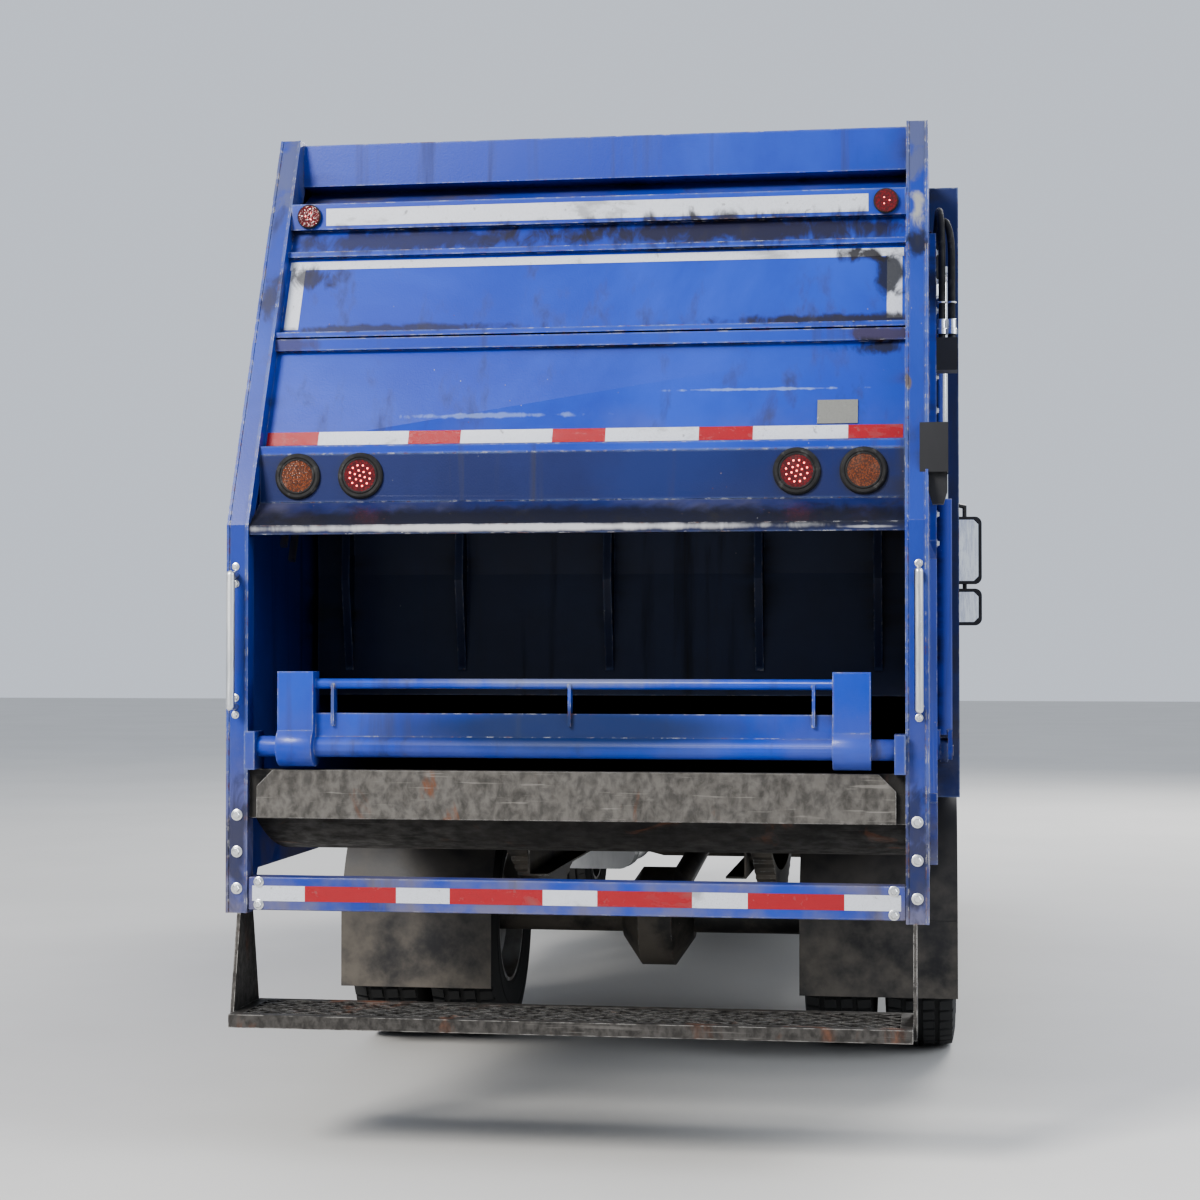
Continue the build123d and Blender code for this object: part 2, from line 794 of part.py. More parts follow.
def side_guards():
    """Two side rails between the axles on three stays from the floor's edge."""
    y = (rear_axle_y + guard_axle_gap, battery_y[0] - air_tank_length - 80)
    rails = [block(guard_x, y, (z, z + guard_rail_height)) for z in guard_rail_bottoms]
    for stay_y in [place for place in bearer_places() if y[0] + 40 < place < y[1] - 40]:
        rails.append(
            block(
                (guard_x[0] - 50, guard_x[0]),
                (stay_y - 30, stay_y + 30),
                (guard_rail_bottoms[0] + 10, rail_top + subframe_height - bearer_height),
            )
        )
    return pair(joined(rails))


# Load body


def bearer_places():
    """Places of the floor's cross bearers, from front to rear."""
    count = int(body_length // body_rib_pitch)
    pitch = (body_length - rear_post_depth - body_rib_width) / count
    return [body_front_y - body_rib_width / 2 - pitch * index for index in range(count + 1)]


def body_floor():
    """Floor plate on cross bearers and two long members that sit on the rails."""
    y = (body_rear_y + rear_post_depth, body_front_y)
    bottom = rail_top + subframe_height
    plate = block((-body_inner_x, body_inner_x), y, (bottom, bottom + floor_plate))
    member = block((rail_inner, rail_outer), y, (rail_top, bottom + 1))
    floor = plate + member + mirrored(member)
    edge = body_half_width - 24
    for place in bearer_places():
        floor += block(
            (-edge, edge),
            (place - body_rib_width / 2, place + body_rib_width / 2),
            (bottom - bearer_height, bottom),
        )
    return floor


roof_edge_z = body_top - roof_chamfer
roof_edge_x = body_half_width - body_rib_depth


def body_walls():
    """Right and left walls: skin with upright ribs and a top and bottom rail."""
    y = (body_rear_y + rear_post_depth, body_front_y)
    bottom = rail_top + subframe_height
    wall = block((body_inner_x, roof_edge_x), y, (bottom, roof_edge_z))
    for place in bearer_places()[:-1]:
        wall += folded_rib(
            (roof_edge_x - 1, body_half_width),
            (place - body_rib_width / 2, place + body_rib_width / 2),
            (bottom, roof_edge_z),
        )
    for low, high in ((bottom, bottom + 150), (roof_edge_z - 110, roof_edge_z)):
        wall += block((roof_edge_x - 1, body_half_width - 8), y, (low, high))
    return pair(wall)


def roof_outline(inset):
    """Half section of the roof, from the centre line to the wall's top."""
    side = roof_edge_x - inset
    return [(side, roof_edge_z), (side - roof_chamfer + 40, body_top - inset), (0, body_top - inset)]


def body_roof():
    """Roof with sloping edges, on cross ribs."""
    y = (body_rear_y + rear_post_depth, body_front_y)
    outer = roof_outline(0)
    inner = roof_outline(body_skin)
    half = outer + [(0, body_top - body_skin)] + [inner[1], inner[0]]
    roof = cross_plate(half, y)
    roof = roof + mirrored(roof)
    for place in bearer_places()[1:-1]:
        span = roof_edge_x - roof_chamfer - 20
        roof += block((-span, span), (place - 30, place + 30), (body_top - 2, body_top + 30))
    return roof


def body_section(inset):
    """The body's whole cross section as (x, z) points."""
    bottom = rail_top + subframe_height + floor_plate
    half = roof_outline(inset)
    return [(-x, z) for x, z in half[:2]] + [half[1], half[0], (half[0][0], bottom), (-half[0][0], bottom)]


def body_front():
    """Front bulkhead between the walls, stiffened by upright channels."""
    panel = cross_plate(body_section(body_skin), (body_front_y - 30, body_front_y))
    for x in (-780, -260, 260, 780):
        panel += block((x - 60, x + 60), (body_front_y - 1, body_front_y + 50), (floor_top, body_top - 220))
    return panel


def rear_frame():
    """Portal at the body's rear: two posts, a header with hinge lugs, and the lift cylinders' feet."""
    y = (body_rear_y, body_rear_y + rear_post_depth)
    bottom = rail_top + subframe_height - bearer_height
    post = block((body_half_width - rear_post_width, body_half_width), y, (bottom, header_top))
    frame = post + mirrored(post)
    frame += block(
        (-body_half_width, body_half_width), y, (header_top - header_height, header_top)
    )
    frame += block((-body_half_width, body_half_width), y, (bottom, floor_top))
    foot = block(
        (lift_cylinder_x - 14, lift_cylinder_x + 14),
        (body_rear_y - lift_foot_depth, body_rear_y + 10),
        (lift_foot_z - 45, lift_foot_z + 45),
    )
    foot_pin = (body_rear_y - lift_foot_depth, lift_foot_z)
    foot += cross_bar((lift_cylinder_x - 14, lift_cylinder_x + 14), *foot_pin, 45)
    foot += cross_bar((lift_cylinder_x - 34, lift_cylinder_x + 36), *foot_pin, 20)
    frame += foot + mirrored(foot)
    for x in (hinge_lug_x, -hinge_lug_x):
        lug = block((x - 22, x + 22), (hinge_pin_y - 20, hinge_pin_y + 60), (header_top - 10, hinge_pin_z))
        lug += cross_bar((x - 22, x + 22), hinge_pin_y, hinge_pin_z, 55)
        frame += lug - cross_bar((x - 30, x + 30), hinge_pin_y, hinge_pin_z, hinge_pin_radius + fit_gap)
    return frame


hinge_lug_x = 780


def ejector():
    """Push plate that clears the load, on two shoes, with its telescopic ram's cone."""
    gap = free_gap + 4
    x = body_inner_x - gap
    face_y = body_front_y - 420
    plate = cross_plate(
        [(-x, floor_top + 30), (x, floor_top + 30), (x, roof_edge_z - 20), (-x, roof_edge_z - 20)],
        (face_y - 30, face_y),
    )
    for rib_x in (-700, 0, 700):
        rib_z = (floor_top + 60, roof_edge_z - 80)
        plate += block((rib_x - 50, rib_x + 50), (face_y - 1, face_y + 120), rib_z)
    for shoe_x in (-900, 900):
        plate += block(
            (shoe_x - 60, shoe_x + 60), (face_y - 30, face_y + 330), (floor_top + fit_gap, floor_top + 60)
        )
    return plate


# Cab


def cab_volume(inset):
    """The cab's closed outer form, moved inwards by an inset: side, plan and front outlines crossed."""
    front = cab_front_y - inset
    back = cab_back_y + inset
    top = cab_roof_top - inset
    bottom = cab_bottom
    half = cab_half_width - inset
    side = [
        (back, bottom),
        (front, bottom),
        (front, windscreen_bottom - 60),
        (front - 18, windscreen_bottom),
        (front - 165, windscreen_top + 60),
        (front - 260, top - 60),
        (front - 440, top),
        (back + 60, top),
        (back, top - 60),
    ]
    depth = front - back
    corner = cab_corner_radius - inset
    plan = Pos(0, front - depth, 0) * RectangleRounded(2 * half, 2 * depth, corner)
    height = top - bottom
    corner = roof_corner_radius - inset
    crown = Pos(0, 0, bottom) * (Plane.XZ * RectangleRounded(2 * half, 2 * height, corner))
    form = side_plate(side, (-half, half))
    form &= extrude(Pos(0, 0, bottom) * plan, amount=height)
    return form & Pos(0, front, 0) * extrude(crown, amount=depth)


def window_outline():
    """Side window as (y, z) points, its front edge leaning with the windscreen pillar."""
    front = door_front_y - 70
    back = door_back_y + 90
    return [
        (back, window_bottom),
        (front, window_bottom),
        (front - 100, window_top),
        (back, window_top),
    ]


def cab_shell():
    """All of the cab's skin in one piece, before it is split into panels."""
    shell = cab_volume(0) - cab_volume(cab_wall)
    open_bottom = cab_floor_bottom + cab_floor_thickness
    inner = cab_half_width - cab_wall
    shell -= block(
        (-inner, inner), (cab_back_y + cab_wall, cab_front_y - cab_wall), (cab_bottom - 10, open_bottom)
    )
    return shell - cross_bar((-2 * cab_half_width, 2 * cab_half_width), front_axle_y, axle_z, arch_radius)


def region(y, z):
    """Everything between two y limits and two z limits."""
    return block((-2 * cab_half_width, 2 * cab_half_width), y, z)


def windscreen_cut():
    half = windscreen_half_width
    cut = cross_plate(
        [
            (-half, windscreen_bottom),
            (half, windscreen_bottom),
            (half - 40, windscreen_top),
            (-half + 40, windscreen_top),
        ],
        (door_front_y - 60, cab_front_y + 50),
    )
    return cut


rear_window = ((-520, 520), (1950, 2380))


def cab_front(shell):
    """Front wall with the windscreen opening, pillars, grille slots and the doors' hinge pins."""
    front = shell & region((door_front_y + panel_gap + 2, cab_front_y + 10), (0, header_bottom))
    front -= windscreen_cut()
    for index in range(6):
        low = 1130 + index * 74
        front -= block((-720, 720), (cab_front_y - 30, cab_front_y + 10), (low, low + 46))
    for side in (-1, 1):
        for z in door_hinges:
            x = sorted((side * (cab_half_width - 12), side * (door_pin_x + 6)))
            front += block(x, (door_pin_y + 8, door_pin_y + 60), (z - 36, z - 2))
            front += Pos(side * door_pin_x, door_pin_y, z - 19) * Cylinder(door_pin_radius + 7, 34)
            front += Pos(side * door_pin_x, door_pin_y, z + 14) * Cylinder(door_pin_radius, 40)
    return front


def cab_back(shell):
    """Rear wall with its corners and window."""
    back = shell & region((cab_back_y - 10, door_back_y - panel_gap), (0, header_bottom))
    inner = cab_half_width - cab_wall
    back -= block((-inner, inner), (cab_back_y - 10, cab_back_y + cab_wall + 1), (0, cab_floor_bottom))
    return back - block(rear_window[0], (cab_back_y - 10, cab_back_y + 200), rear_window[1])


def cab_roof(shell):
    """Roof panel and the header above doors and windscreen."""
    roof = shell & region((cab_back_y - 10, cab_front_y + 10), (header_bottom, 2 * cab_roof_top))
    return roof


def cab_floor():
    """Floor pan with the tilt lugs and their pins."""
    half = cab_half_width - cab_wall - free_gap
    floor = block(
        (-half, half), (cab_back_y + cab_wall, cab_front_y - cab_wall), (cab_floor_bottom, cab_floor_top)
    )
    lug_x = (rail_outer + free_gap, rail_outer + 40)
    lug = block(lug_x, (tilt_pin_y - 40, tilt_pin_y + 40), (tilt_pin_z, cab_floor_bottom + 1))
    lug += cross_bar(lug_x, tilt_pin_y, tilt_pin_z, 40)
    lug += cross_bar((rail_inner - 5, lug_x[1]), tilt_pin_y, tilt_pin_z, tilt_pin_radius)
    floor += lug + mirrored(lug)
    return floor - cross_bar((-2 * cab_half_width, 2 * cab_half_width), front_axle_y, axle_z, arch_radius)


def cab_glass():
    """Windscreen and rear window panes."""
    pane = cab_volume(glass_inset) - cab_volume(glass_inset + glass_thickness)
    front = pane & windscreen_cut()
    back = pane & block(rear_window[0], (cab_back_y - 10, cab_back_y + 100), rear_window[1])
    return Compound([*front.solids(), *back.solids()])


def dashboard():
    """Dashboard across the cab with the steering column and wheel on the driver's left side."""
    face = cab_front_y - cab_wall
    dash = side_plate(
        [
            (face, dash_bottom),
            (face, windscreen_bottom - dash_drop),
            (face - 190, windscreen_bottom - dash_drop),
            (face - dash_depth, windscreen_bottom - dash_drop - 48),
            (face - dash_depth + 20, dash_bottom),
        ],
        (-cab_half_width + cab_wall + 20, cab_half_width - cab_wall - 20),
    )
    dash &= cab_volume(cab_wall)
    x = -driver_x
    top = Vector(x, face - steering_wheel_setback, cab_floor_top + steering_wheel_height)
    foot = Vector(x, face - dash_depth + 70, dash_bottom + 60)
    dash += bar(tuple(foot), tuple(top), 32)
    wheel_plane = Plane(origin=top, z_dir=top - foot)
    radius = steering_wheel_radius
    dash += wheel_plane * Torus(radius, steering_wheel_rim)
    for angle in (0, 90, 180):
        dash += wheel_plane * Rot(0, 0, angle) * Pos(radius / 2, 0, 0) * Box(radius, 34, 14)
    return dash + wheel_plane * Cylinder(60, 30)


seat_y = cab_back_y + cab_wall + 120


def seat(x, width):
    """One seat: base, cushion and leaning back."""
    y = seat_y
    low = cab_floor_top
    outline = [
        (y + 60, low),
        (y + 460, low),
        (y + 470, low + seat_base_height - 40),
        (y + 560, low + seat_base_height),
        (y + 560, low + seat_base_height + 100),
        (y + 180, low + seat_base_height + 80),
        (y + 60, low + seat_back_height),
        (y - 60, low + seat_back_height - 20),
        (y + 40, low + seat_base_height),
    ]
    return side_plate(outline, (x - width / 2, x + width / 2))


def seats():
    """Driver's seat on the left and a bench for two beside it."""
    return Compound([*seat(-driver_x, driver_seat_width).solids(), *seat(bench_x, bench_width).solids()])


def mirrors():
    """Two mirrors a side on an arm from the front pillar."""
    y = door_front_y + 130
    x = cab_half_width
    out = x + mirror_reach
    main_top = header_bottom - mirror_drop
    wide_top = main_top - mirror_height - mirror_spacing
    arm_z = wide_top - wide_mirror_height / 2 + 20
    arm = bar((x - 30, door_front_y - 40, header_bottom + 40), (out, y, header_bottom), 14)
    arm += bar((out, y, header_bottom + 8), (out, y, arm_z - 30), 14)
    arm += bar((x - 40, door_front_y + 40, arm_z + 20), (out, y, arm_z), 14)
    arm -= cab_volume(0)
    for top, height in ((main_top, mirror_height), (wide_top, wide_mirror_height)):
        case = Pos(out + 10, y - 20, top - height / 2) * extrude(
            Plane.XZ * RectangleRounded(mirror_width, height, 45), amount=40, both=True
        )
        arm += case
    return pair(arm)


def door(shell):
    """Right door: the shell's side between the pillars, with its window, handle and hinge knuckles."""
    panel = shell & block(
        (cab_half_width - cab_wall - 60, cab_half_width + 5), (door_back_y, door_front_y), door_z
    )
    panel -= side_plate(window_outline(), (0, 2 * cab_half_width))
    for z in door_hinges:
        panel += block(
            (cab_half_width - 4, door_pin_x + 18), (door_pin_y - 60, door_pin_y + 4), (z, z + 30)
        )
        panel += Pos(door_pin_x, door_pin_y, z + 15) * Cylinder(door_pin_radius + 7, 30)
        panel -= Pos(door_pin_x, door_pin_y, z + 15) * Cylinder(door_pin_radius + fit_gap, 60)
        panel -= block(
            (cab_half_width - 30, door_pin_x + 30), (door_pin_y - 40, door_pin_y + 40), (z - 44, z - fit_gap)
        )
    panel += block(
        (cab_half_width - 4, cab_half_width + 28), (door_back_y + 60, door_back_y + 250), (1600, 1640)
    )
    return panel


def door_glass():
    """Pane of the right door."""
    pane = cab_volume(glass_inset) - cab_volume(glass_inset + glass_thickness)
    return pane & side_plate(window_outline(), (0, 2 * cab_half_width))


# Tailgate


def tail_post():
    """Right rear post: a box up the back edge and forwards along the top, with the lifter's bearing."""
    rear = body_rear_y
    run = post_depth
    x = (post_inner_x, tail_half_width)
    outline = [
        (rear - tail_depth, tail_bottom),
        (rear - tail_depth, tail_break_z),
        (rear - tail_top_depth, tail_top),
        (rear - free_gap, tail_top),
        (rear - free_gap, tail_top - post_depth),
        (rear - tail_top_depth + run / slope_down + 40, tail_top - post_depth),
        (rear - tail_depth + run, tail_break_z + 20),
        (rear - tail_depth + run, tail_bottom),
    ]
    post = side_plate(outline, x)
    seat_x = (post_inner_x - 34, post_inner_x + 1)
    seat = block(seat_x, (lifter_shaft_y - 50, lifter_shaft_y + 60), (sill_top, lifter_shaft_z + 50))
    bore = lifter_shaft_radius + fit_gap
    seat -= cross_bar((seat_x[0] - 1, post_inner_x), lifter_shaft_y, lifter_shaft_z, bore)
    return post + seat + post_lips()


def post_lips():
    """The two folded lips along the right post's back edge."""
    rear = body_rear_y - tail_depth
    outline = [
        (rear - post_lip_rise, tail_bottom),
        (rear - post_lip_rise, tail_break_z),
        slope_point(tail_top, -post_lip_rise),
        slope_point(tail_top, 1),
        (rear + 1, tail_break_z),
        (rear + 1, tail_bottom),
    ]
    lip = side_plate(outline, (tail_half_width - post_lip, tail_half_width))
    return lip + Pos(post_lip - post_width, 0, 0) * lip


def tail_posts():
    """Both rear posts."""
    return pair(tail_post())


def tail_side():
    """Right side plate of the tailgate, with the boss for the lift rod's eye."""
    depth = tail_depth
    rear = body_rear_y
    clear = free_gap
    outer_arc = hopper_radius + 46
    centre = (rear - blade_centre_depth, blade_centre_z)
    outline = [
        (rear - clear, floor_top - 90),
        (rear - clear, tail_top),
        (rear - tail_top_depth, tail_top),
        (rear - depth, tail_break_z),
        (rear - depth, tail_bottom),
        (rear - depth + 190, tail_bottom),
        (rear - depth + 260, blade_centre_z - outer_arc),
        (rear - blade_centre_depth + 330, blade_centre_z - outer_arc),
        (rear - blade_centre_depth + 560, floor_top - 90),
    ]
    plate = side_plate(outline, (tail_inner_x, tail_half_width)) - tail_post()
    eye_x = (tail_half_width - 1, lift_cylinder_x - 24)
    plate += cross_bar(eye_x, body_rear_y - lift_eye_depth, lift_eye_z, 34)
    return plate + side_stiffeners()


def side_stiffeners():
    """Outside of the right side: a channel over the guides, a band round the hopper and an upright rib."""
    x = (tail_half_width - 1, tail_half_width + side_rib_rise)
    channel = guide_strip(guide_centre_inset, guide_cover_width, x)
    centre = (body_rear_y - blade_centre_depth, blade_centre_z)
    band = arc_strip(centre, hopper_radius + 4, hopper_band_width, hopper_band_span, x)
    reach = tail_depth - blade_centre_depth - (guide_centre_inset + guide_cover_width / 2) / slope_down
    rib_top = tail_break_z + reach * slope_down / slope_rear + 30
    rib_y = (centre[0] - side_rib_width / 2, centre[0] + side_rib_width / 2)
    rib = folded_rib(x, rib_y, (blade_centre_z - hopper_radius - 20, rib_top))
    return channel + band + rib


def tailgate_sides():
    """Both side plates."""
    return pair(tail_side())


guide_offset = (shoe_height + guide_bar) / 2 + fit_gap


def guide_rails():
    """Two flat bars on each side plate that the carriage's shoes run between."""
    x = (tail_inner_x - guide_depth, tail_inner_x)
    bars = [guide_strip(guide_centre_inset + side * guide_offset, guide_bar, x) for side in (-1, 1)]
    return Compound([solid for guide in bars for solid in pair(guide).solids()])


def guide_strip(middle, width, x):
    """A straight strip along the whole run of the carriage's shoes; middle is its inset."""
    points = [
        packer_point(guide_reach[0], middle - width / 2),
        packer_point(guide_reach[0], middle + width / 2),
        packer_point(guide_reach[1], middle + width / 2),
        packer_point(guide_reach[1], middle - width / 2),
    ]
    return side_plate(points, x)


def slope_strip(z, inset, x):
    """A flat strip along the tailgate's back, between two heights and two insets."""
    points = [
        slope_point(z[0], inset[0]),
        slope_point(z[0], inset[1]),
        slope_point(z[1], inset[1]),
        slope_point(z[1], inset[0]),
    ]
    return side_plate(points, x)


def tailgate_cover():
    """Everything that spans the tailgate's back above the opening: roof, beams, panels and hinge arms."""
    x = (-post_inner_x, post_inner_x)
    skin = (skin_inset, skin_inset + skin_plate)
    cover = slope_strip((skin_bottom_z, skin_top_z), skin, x)
    roof_y = (body_rear_y - tail_top_depth + 30, body_rear_y - free_gap)
    cover += block(x, roof_y, (tail_top - 24, tail_top - 12))
    for low, high, depth in cover_ribs:
        rear = slope_point((low + high) / 2, depth)[0]
        inner = slope_point(low, skin_inset + 1)
        upper = slope_point(high, skin_inset + 1)
        cover += side_plate([inner, (rear, low), (rear, high), upper], x)
    header_low = tail_top - header_plate_drop
    cover += block(x, (roof_y[0], roof_y[0] + 12), (header_low, tail_top - 13))
    cover += block(x, (roof_y[0], roof_y[0] + 150), (header_low - 10, header_low + 2))
    cover += side_plate(
        [
            slope_point(skin_top_z - 20, skin_inset),
            slope_point(skin_top_z - 20, skin_inset + skin_plate),
            (roof_y[0] + 150, header_low - 10),
            (roof_y[0] + 150, header_low + 2),
        ],
        x,
    )
    for side in (-1, 1):
        arm_x = sorted((side * (hinge_lug_x - 22 - free_gap), side * (hinge_lug_x - 70)))
        arm = block(arm_x, (body_rear_y - 300, body_rear_y - free_gap), (tail_top - 14, hinge_pin_z + 30))
        arm += block(arm_x, (body_rear_y - 300, hinge_pin_y), (header_top + 12, hinge_pin_z + 50))
        arm += cross_bar(arm_x, hinge_pin_y, hinge_pin_z, 50)
        pin_x = sorted((side * (hinge_lug_x - 60), side * (hinge_lug_x + 30)))
        cover += arm + cross_bar(pin_x, hinge_pin_y, hinge_pin_z, hinge_pin_radius)
    return cover


# Ribs across the back: low height, high height, inset of the rear face from the back edge
cover_ribs = (
    (3107, 3198, 6),
    (3005, 3024, 26),
    (2705, 2723, 8),
    (2659, 2699, 22),
    (2290, 2318, 10),
)


def hopper_arc_point(z, radius, rear):
    """(y, z) on the hopper's circle at a height, on its rear or front side."""
    reach = sqrt(radius**2 - (blade_centre_z - z) ** 2)
    return (body_rear_y - blade_centre_depth - (reach if rear else -reach), z)


def hopper_bucket():
    """Curved trough from the body's floor round to the sill, with the sill's box beam."""
    inner = hopper_radius
    outer = hopper_radius + hopper_plate
    lowest = body_rear_y - blade_centre_depth
    threshold = floor_top
    front_inner = hopper_arc_point(threshold, inner, False)
    front_outer = hopper_arc_point(threshold - hopper_plate, outer, False)
    rear_inner = hopper_arc_point(sill_top, inner, True)
    rear_outer = hopper_arc_point(sill_top, outer, True)
    start_y = body_rear_y - free_gap
    section = [
        Line((start_y, threshold), front_inner),
        ThreePointArc(front_inner, (lowest, blade_centre_z - inner), rear_inner),
        Line(rear_inner, rear_outer),
        ThreePointArc(rear_outer, (lowest, blade_centre_z - outer), front_outer),
        Line(front_outer, (start_y, threshold - hopper_plate)),
        Line((start_y, threshold - hopper_plate), (start_y, threshold)),
    ]
    trough = Pos(-tail_inner_x, 0, 0) * extrude(Plane.YZ * make_face(section), amount=2 * tail_inner_x)
    beam_points = [
        rear_inner,
        (sill_y + sill_plate_thickness, sill_top),
        (sill_y + sill_plate_thickness, sill_top - sill_height),
        hopper_arc_point(sill_top - sill_height, inner + 4, True),
    ]
    beam = side_plate(beam_points, (-tail_inner_x, tail_inner_x))
    beam -= cross_bar((-2 * tail_inner_x, 2 * tail_inner_x), lowest, blade_centre_z, inner)
    post = block((post_inner_x, tail_half_width), (sill_y - 1, sill_y + post_depth), (0, 2 * sill_top))
    plate_front_y = sill_y + sill_plate_thickness
    behind = block((-tail_half_width, tail_half_width), (sill_y - tail_depth, plate_front_y), (0, tail_top))
    return trough + beam - post - mirrored(post) - behind


def sill_plate():
    """Wear plate on the hopper's sill, its top corners cut off."""
    half = sill_half_width
    low = sill_top - sill_height
    outline = [
        (-half, low),
        (half, low),
        (half, sill_top - sill_corner),
        (half - sill_corner, sill_top),
        (sill_corner - half, sill_top),
        (-half, sill_top - sill_corner),
    ]
    return cross_plate(outline, (sill_y, sill_y + sill_plate_thickness))


lamp_panel_z = (2130, skin_bottom_z)
lamp_face_y = body_rear_y - tail_outline_depth(lamp_panel_z[1]) + 16
lamp_panel_depth = 100


def lamp_panel():
    """Recessed box across the back, with holes for the round lamps, and the opening's lip below it."""
    x = (-post_inner_x, post_inner_x)
    shape = block(x, (lamp_face_y, lamp_face_y + lamp_panel_depth), lamp_panel_z)
    for lamp_x, radius in lamp_places:
        for side in (-1, 1):
            shape -= bar(
                (side * lamp_x, lamp_face_y - 10, lamp_centre_z),
                (side * lamp_x, lamp_face_y + 30, lamp_centre_z),
                radius,
            )
    lip_edge = slope_point(lip_z[1], 4)
    shape += side_plate(
        [
            (lip_edge[0], lip_z[0]),
            (lip_edge[0], lip_z[1]),
            (lamp_face_y + 20, lamp_panel_z[0] + 12),
            (lamp_face_y + 60, lamp_panel_z[0] + 2),
            (lip_edge[0] + 30, lip_z[0]),
        ],
        x,
    )
    return shape


lip_z = (2017, 2047)
top_lamp_inset = 67
top_lamp_radius = 38
lamp_centre_z = 2216
lamp_places = ((post_inner_x - 346, 66), (post_inner_x - 132, 66))


def round_lamp(x, y, z, radius, depth):
    """A round lamp with a stepped rim, facing rearwards."""
    return bar((x, y + depth, z), (x, y, z), radius) + bar((x, y + 2, z), (x, y - 8, z), radius - 13)


def stop_lamps():
    """Red round lamps in the panel and the two small ones on the top beam."""
    lamp = round_lamp(lamp_places[0][0], lamp_face_y - 4, lamp_centre_z, lamp_places[0][1], 34)
    low, high, depth = cover_ribs[0]
    top_y = slope_point((low + high) / 2, depth)[0]
    top_x = post_inner_x - top_lamp_inset
    top_z = (low + high) / 2
    small = bar((top_x, top_y, top_z), (top_x, top_y - 16, top_z), top_lamp_radius)
    return Compound([*pair(lamp).solids(), *pair(small).solids()])


def turn_lamps():
    """Amber round lamps in the panel."""
    return pair(round_lamp(lamp_places[1][0], lamp_face_y - 4, lamp_centre_z, lamp_places[1][1], 34))


def rear_bar():
    """Cross bar below the hopper between the posts."""
    bar_y = (sill_y + 4, sill_y + 84)
    return block((-post_inner_x, post_inner_x), bar_y, (bar_bottom, bar_bottom + bar_height))


def rear_step():
    """Riding step: a frame with slats, hung on two brackets from the posts."""
    y = (sill_y - step_reach, sill_y - step_reach + step_depth)
    z = (step_z - step_frame, step_z)
    half = step_half_width
    frame = block((-half, half), y, z)
    frame -= block((40 - half, half - 40), (y[0] + 40, y[1] - 40), (0, 2 * step_z))
    for index in range(7):
        slat_y = y[0] + 40 + (step_depth - 80) * (index + 0.5) / 7
        frame += block((30 - half, half - 30), (slat_y - 6, slat_y + 6), (step_z - 30, step_z - 4))
    hanger = side_plate(
        [
            (sill_y, tail_bottom),
            (sill_y + 60, tail_bottom),
            (sill_y + 140, tail_bottom),
            (y[1], z[0]),
            (y[0] + 60, z[0]),
            (y[0] + 60, z[1]),
        ],
        (half, half + 12),
    )
    return frame + hanger + mirrored(hanger)


def grab_rails():
    """Upright grab rails on the rear posts."""
    x = tail_half_width - 30
    y = sill_y - 55
    rail_z = (1455, 1885)
    shape = bar((x, y, rail_z[0]), (x, y, rail_z[1]), 14)
    for z in rail_z:
        shape += Pos(x, y, z) * Sphere(14)
        shape += bar((x, y, z), (x, sill_y, z), 12)
    return pair(shape)


def packer_point(down, inset):
    """(y, z) of a point inside the tailgate: down the slope from the blade's pin, inset from the back."""
    forwards = inset - pin_inset
    return (
        blade_pin_y - slope_rear * down + slope_down * forwards,
        blade_pin_z - slope_down * down - slope_rear * forwards,
    )


pin_inset = (blade_pin_y - body_rear_y + tail_outline_depth(blade_pin_z)) * slope_down
carriage_front_inset = pin_inset - blade_hub_radius - carriage_pin_gap
carriage_back_inset = carriage_front_inset - carriage_depth
packer_inset = carriage_back_inset - packer_gap - barrel_radius
guide_centre_inset = carriage_back_inset + guide_inset
shoe_places = (90 - carriage_length, -220)
shoe_half_length = 80
guide_reach = (
    shoe_places[0] - shoe_half_length - guide_end,
    shoe_places[1] + shoe_half_length + carriage_stroke + guide_end,
)


def packer_barrels():
    """Two hydraulic cylinders for the carriage, hung from a tube across the tailgate."""
    gland = packer_point(-barrel_rest, packer_inset)
    head = packer_point(-barrel_rest - barrel_length, packer_inset)
    seat = packer_point(-barrel_rest - barrel_length + 60, packer_inset)
    shape = bar((packer_x, *head), (packer_x, *gland), barrel_radius)
    shape -= bar((packer_x, *seat), (packer_x, *gland), barrel_bore + fit_gap)
    shape = shape + mirrored(shape)
    return shape + cross_bar((-tail_inner_x, tail_inner_x), *head, 50)


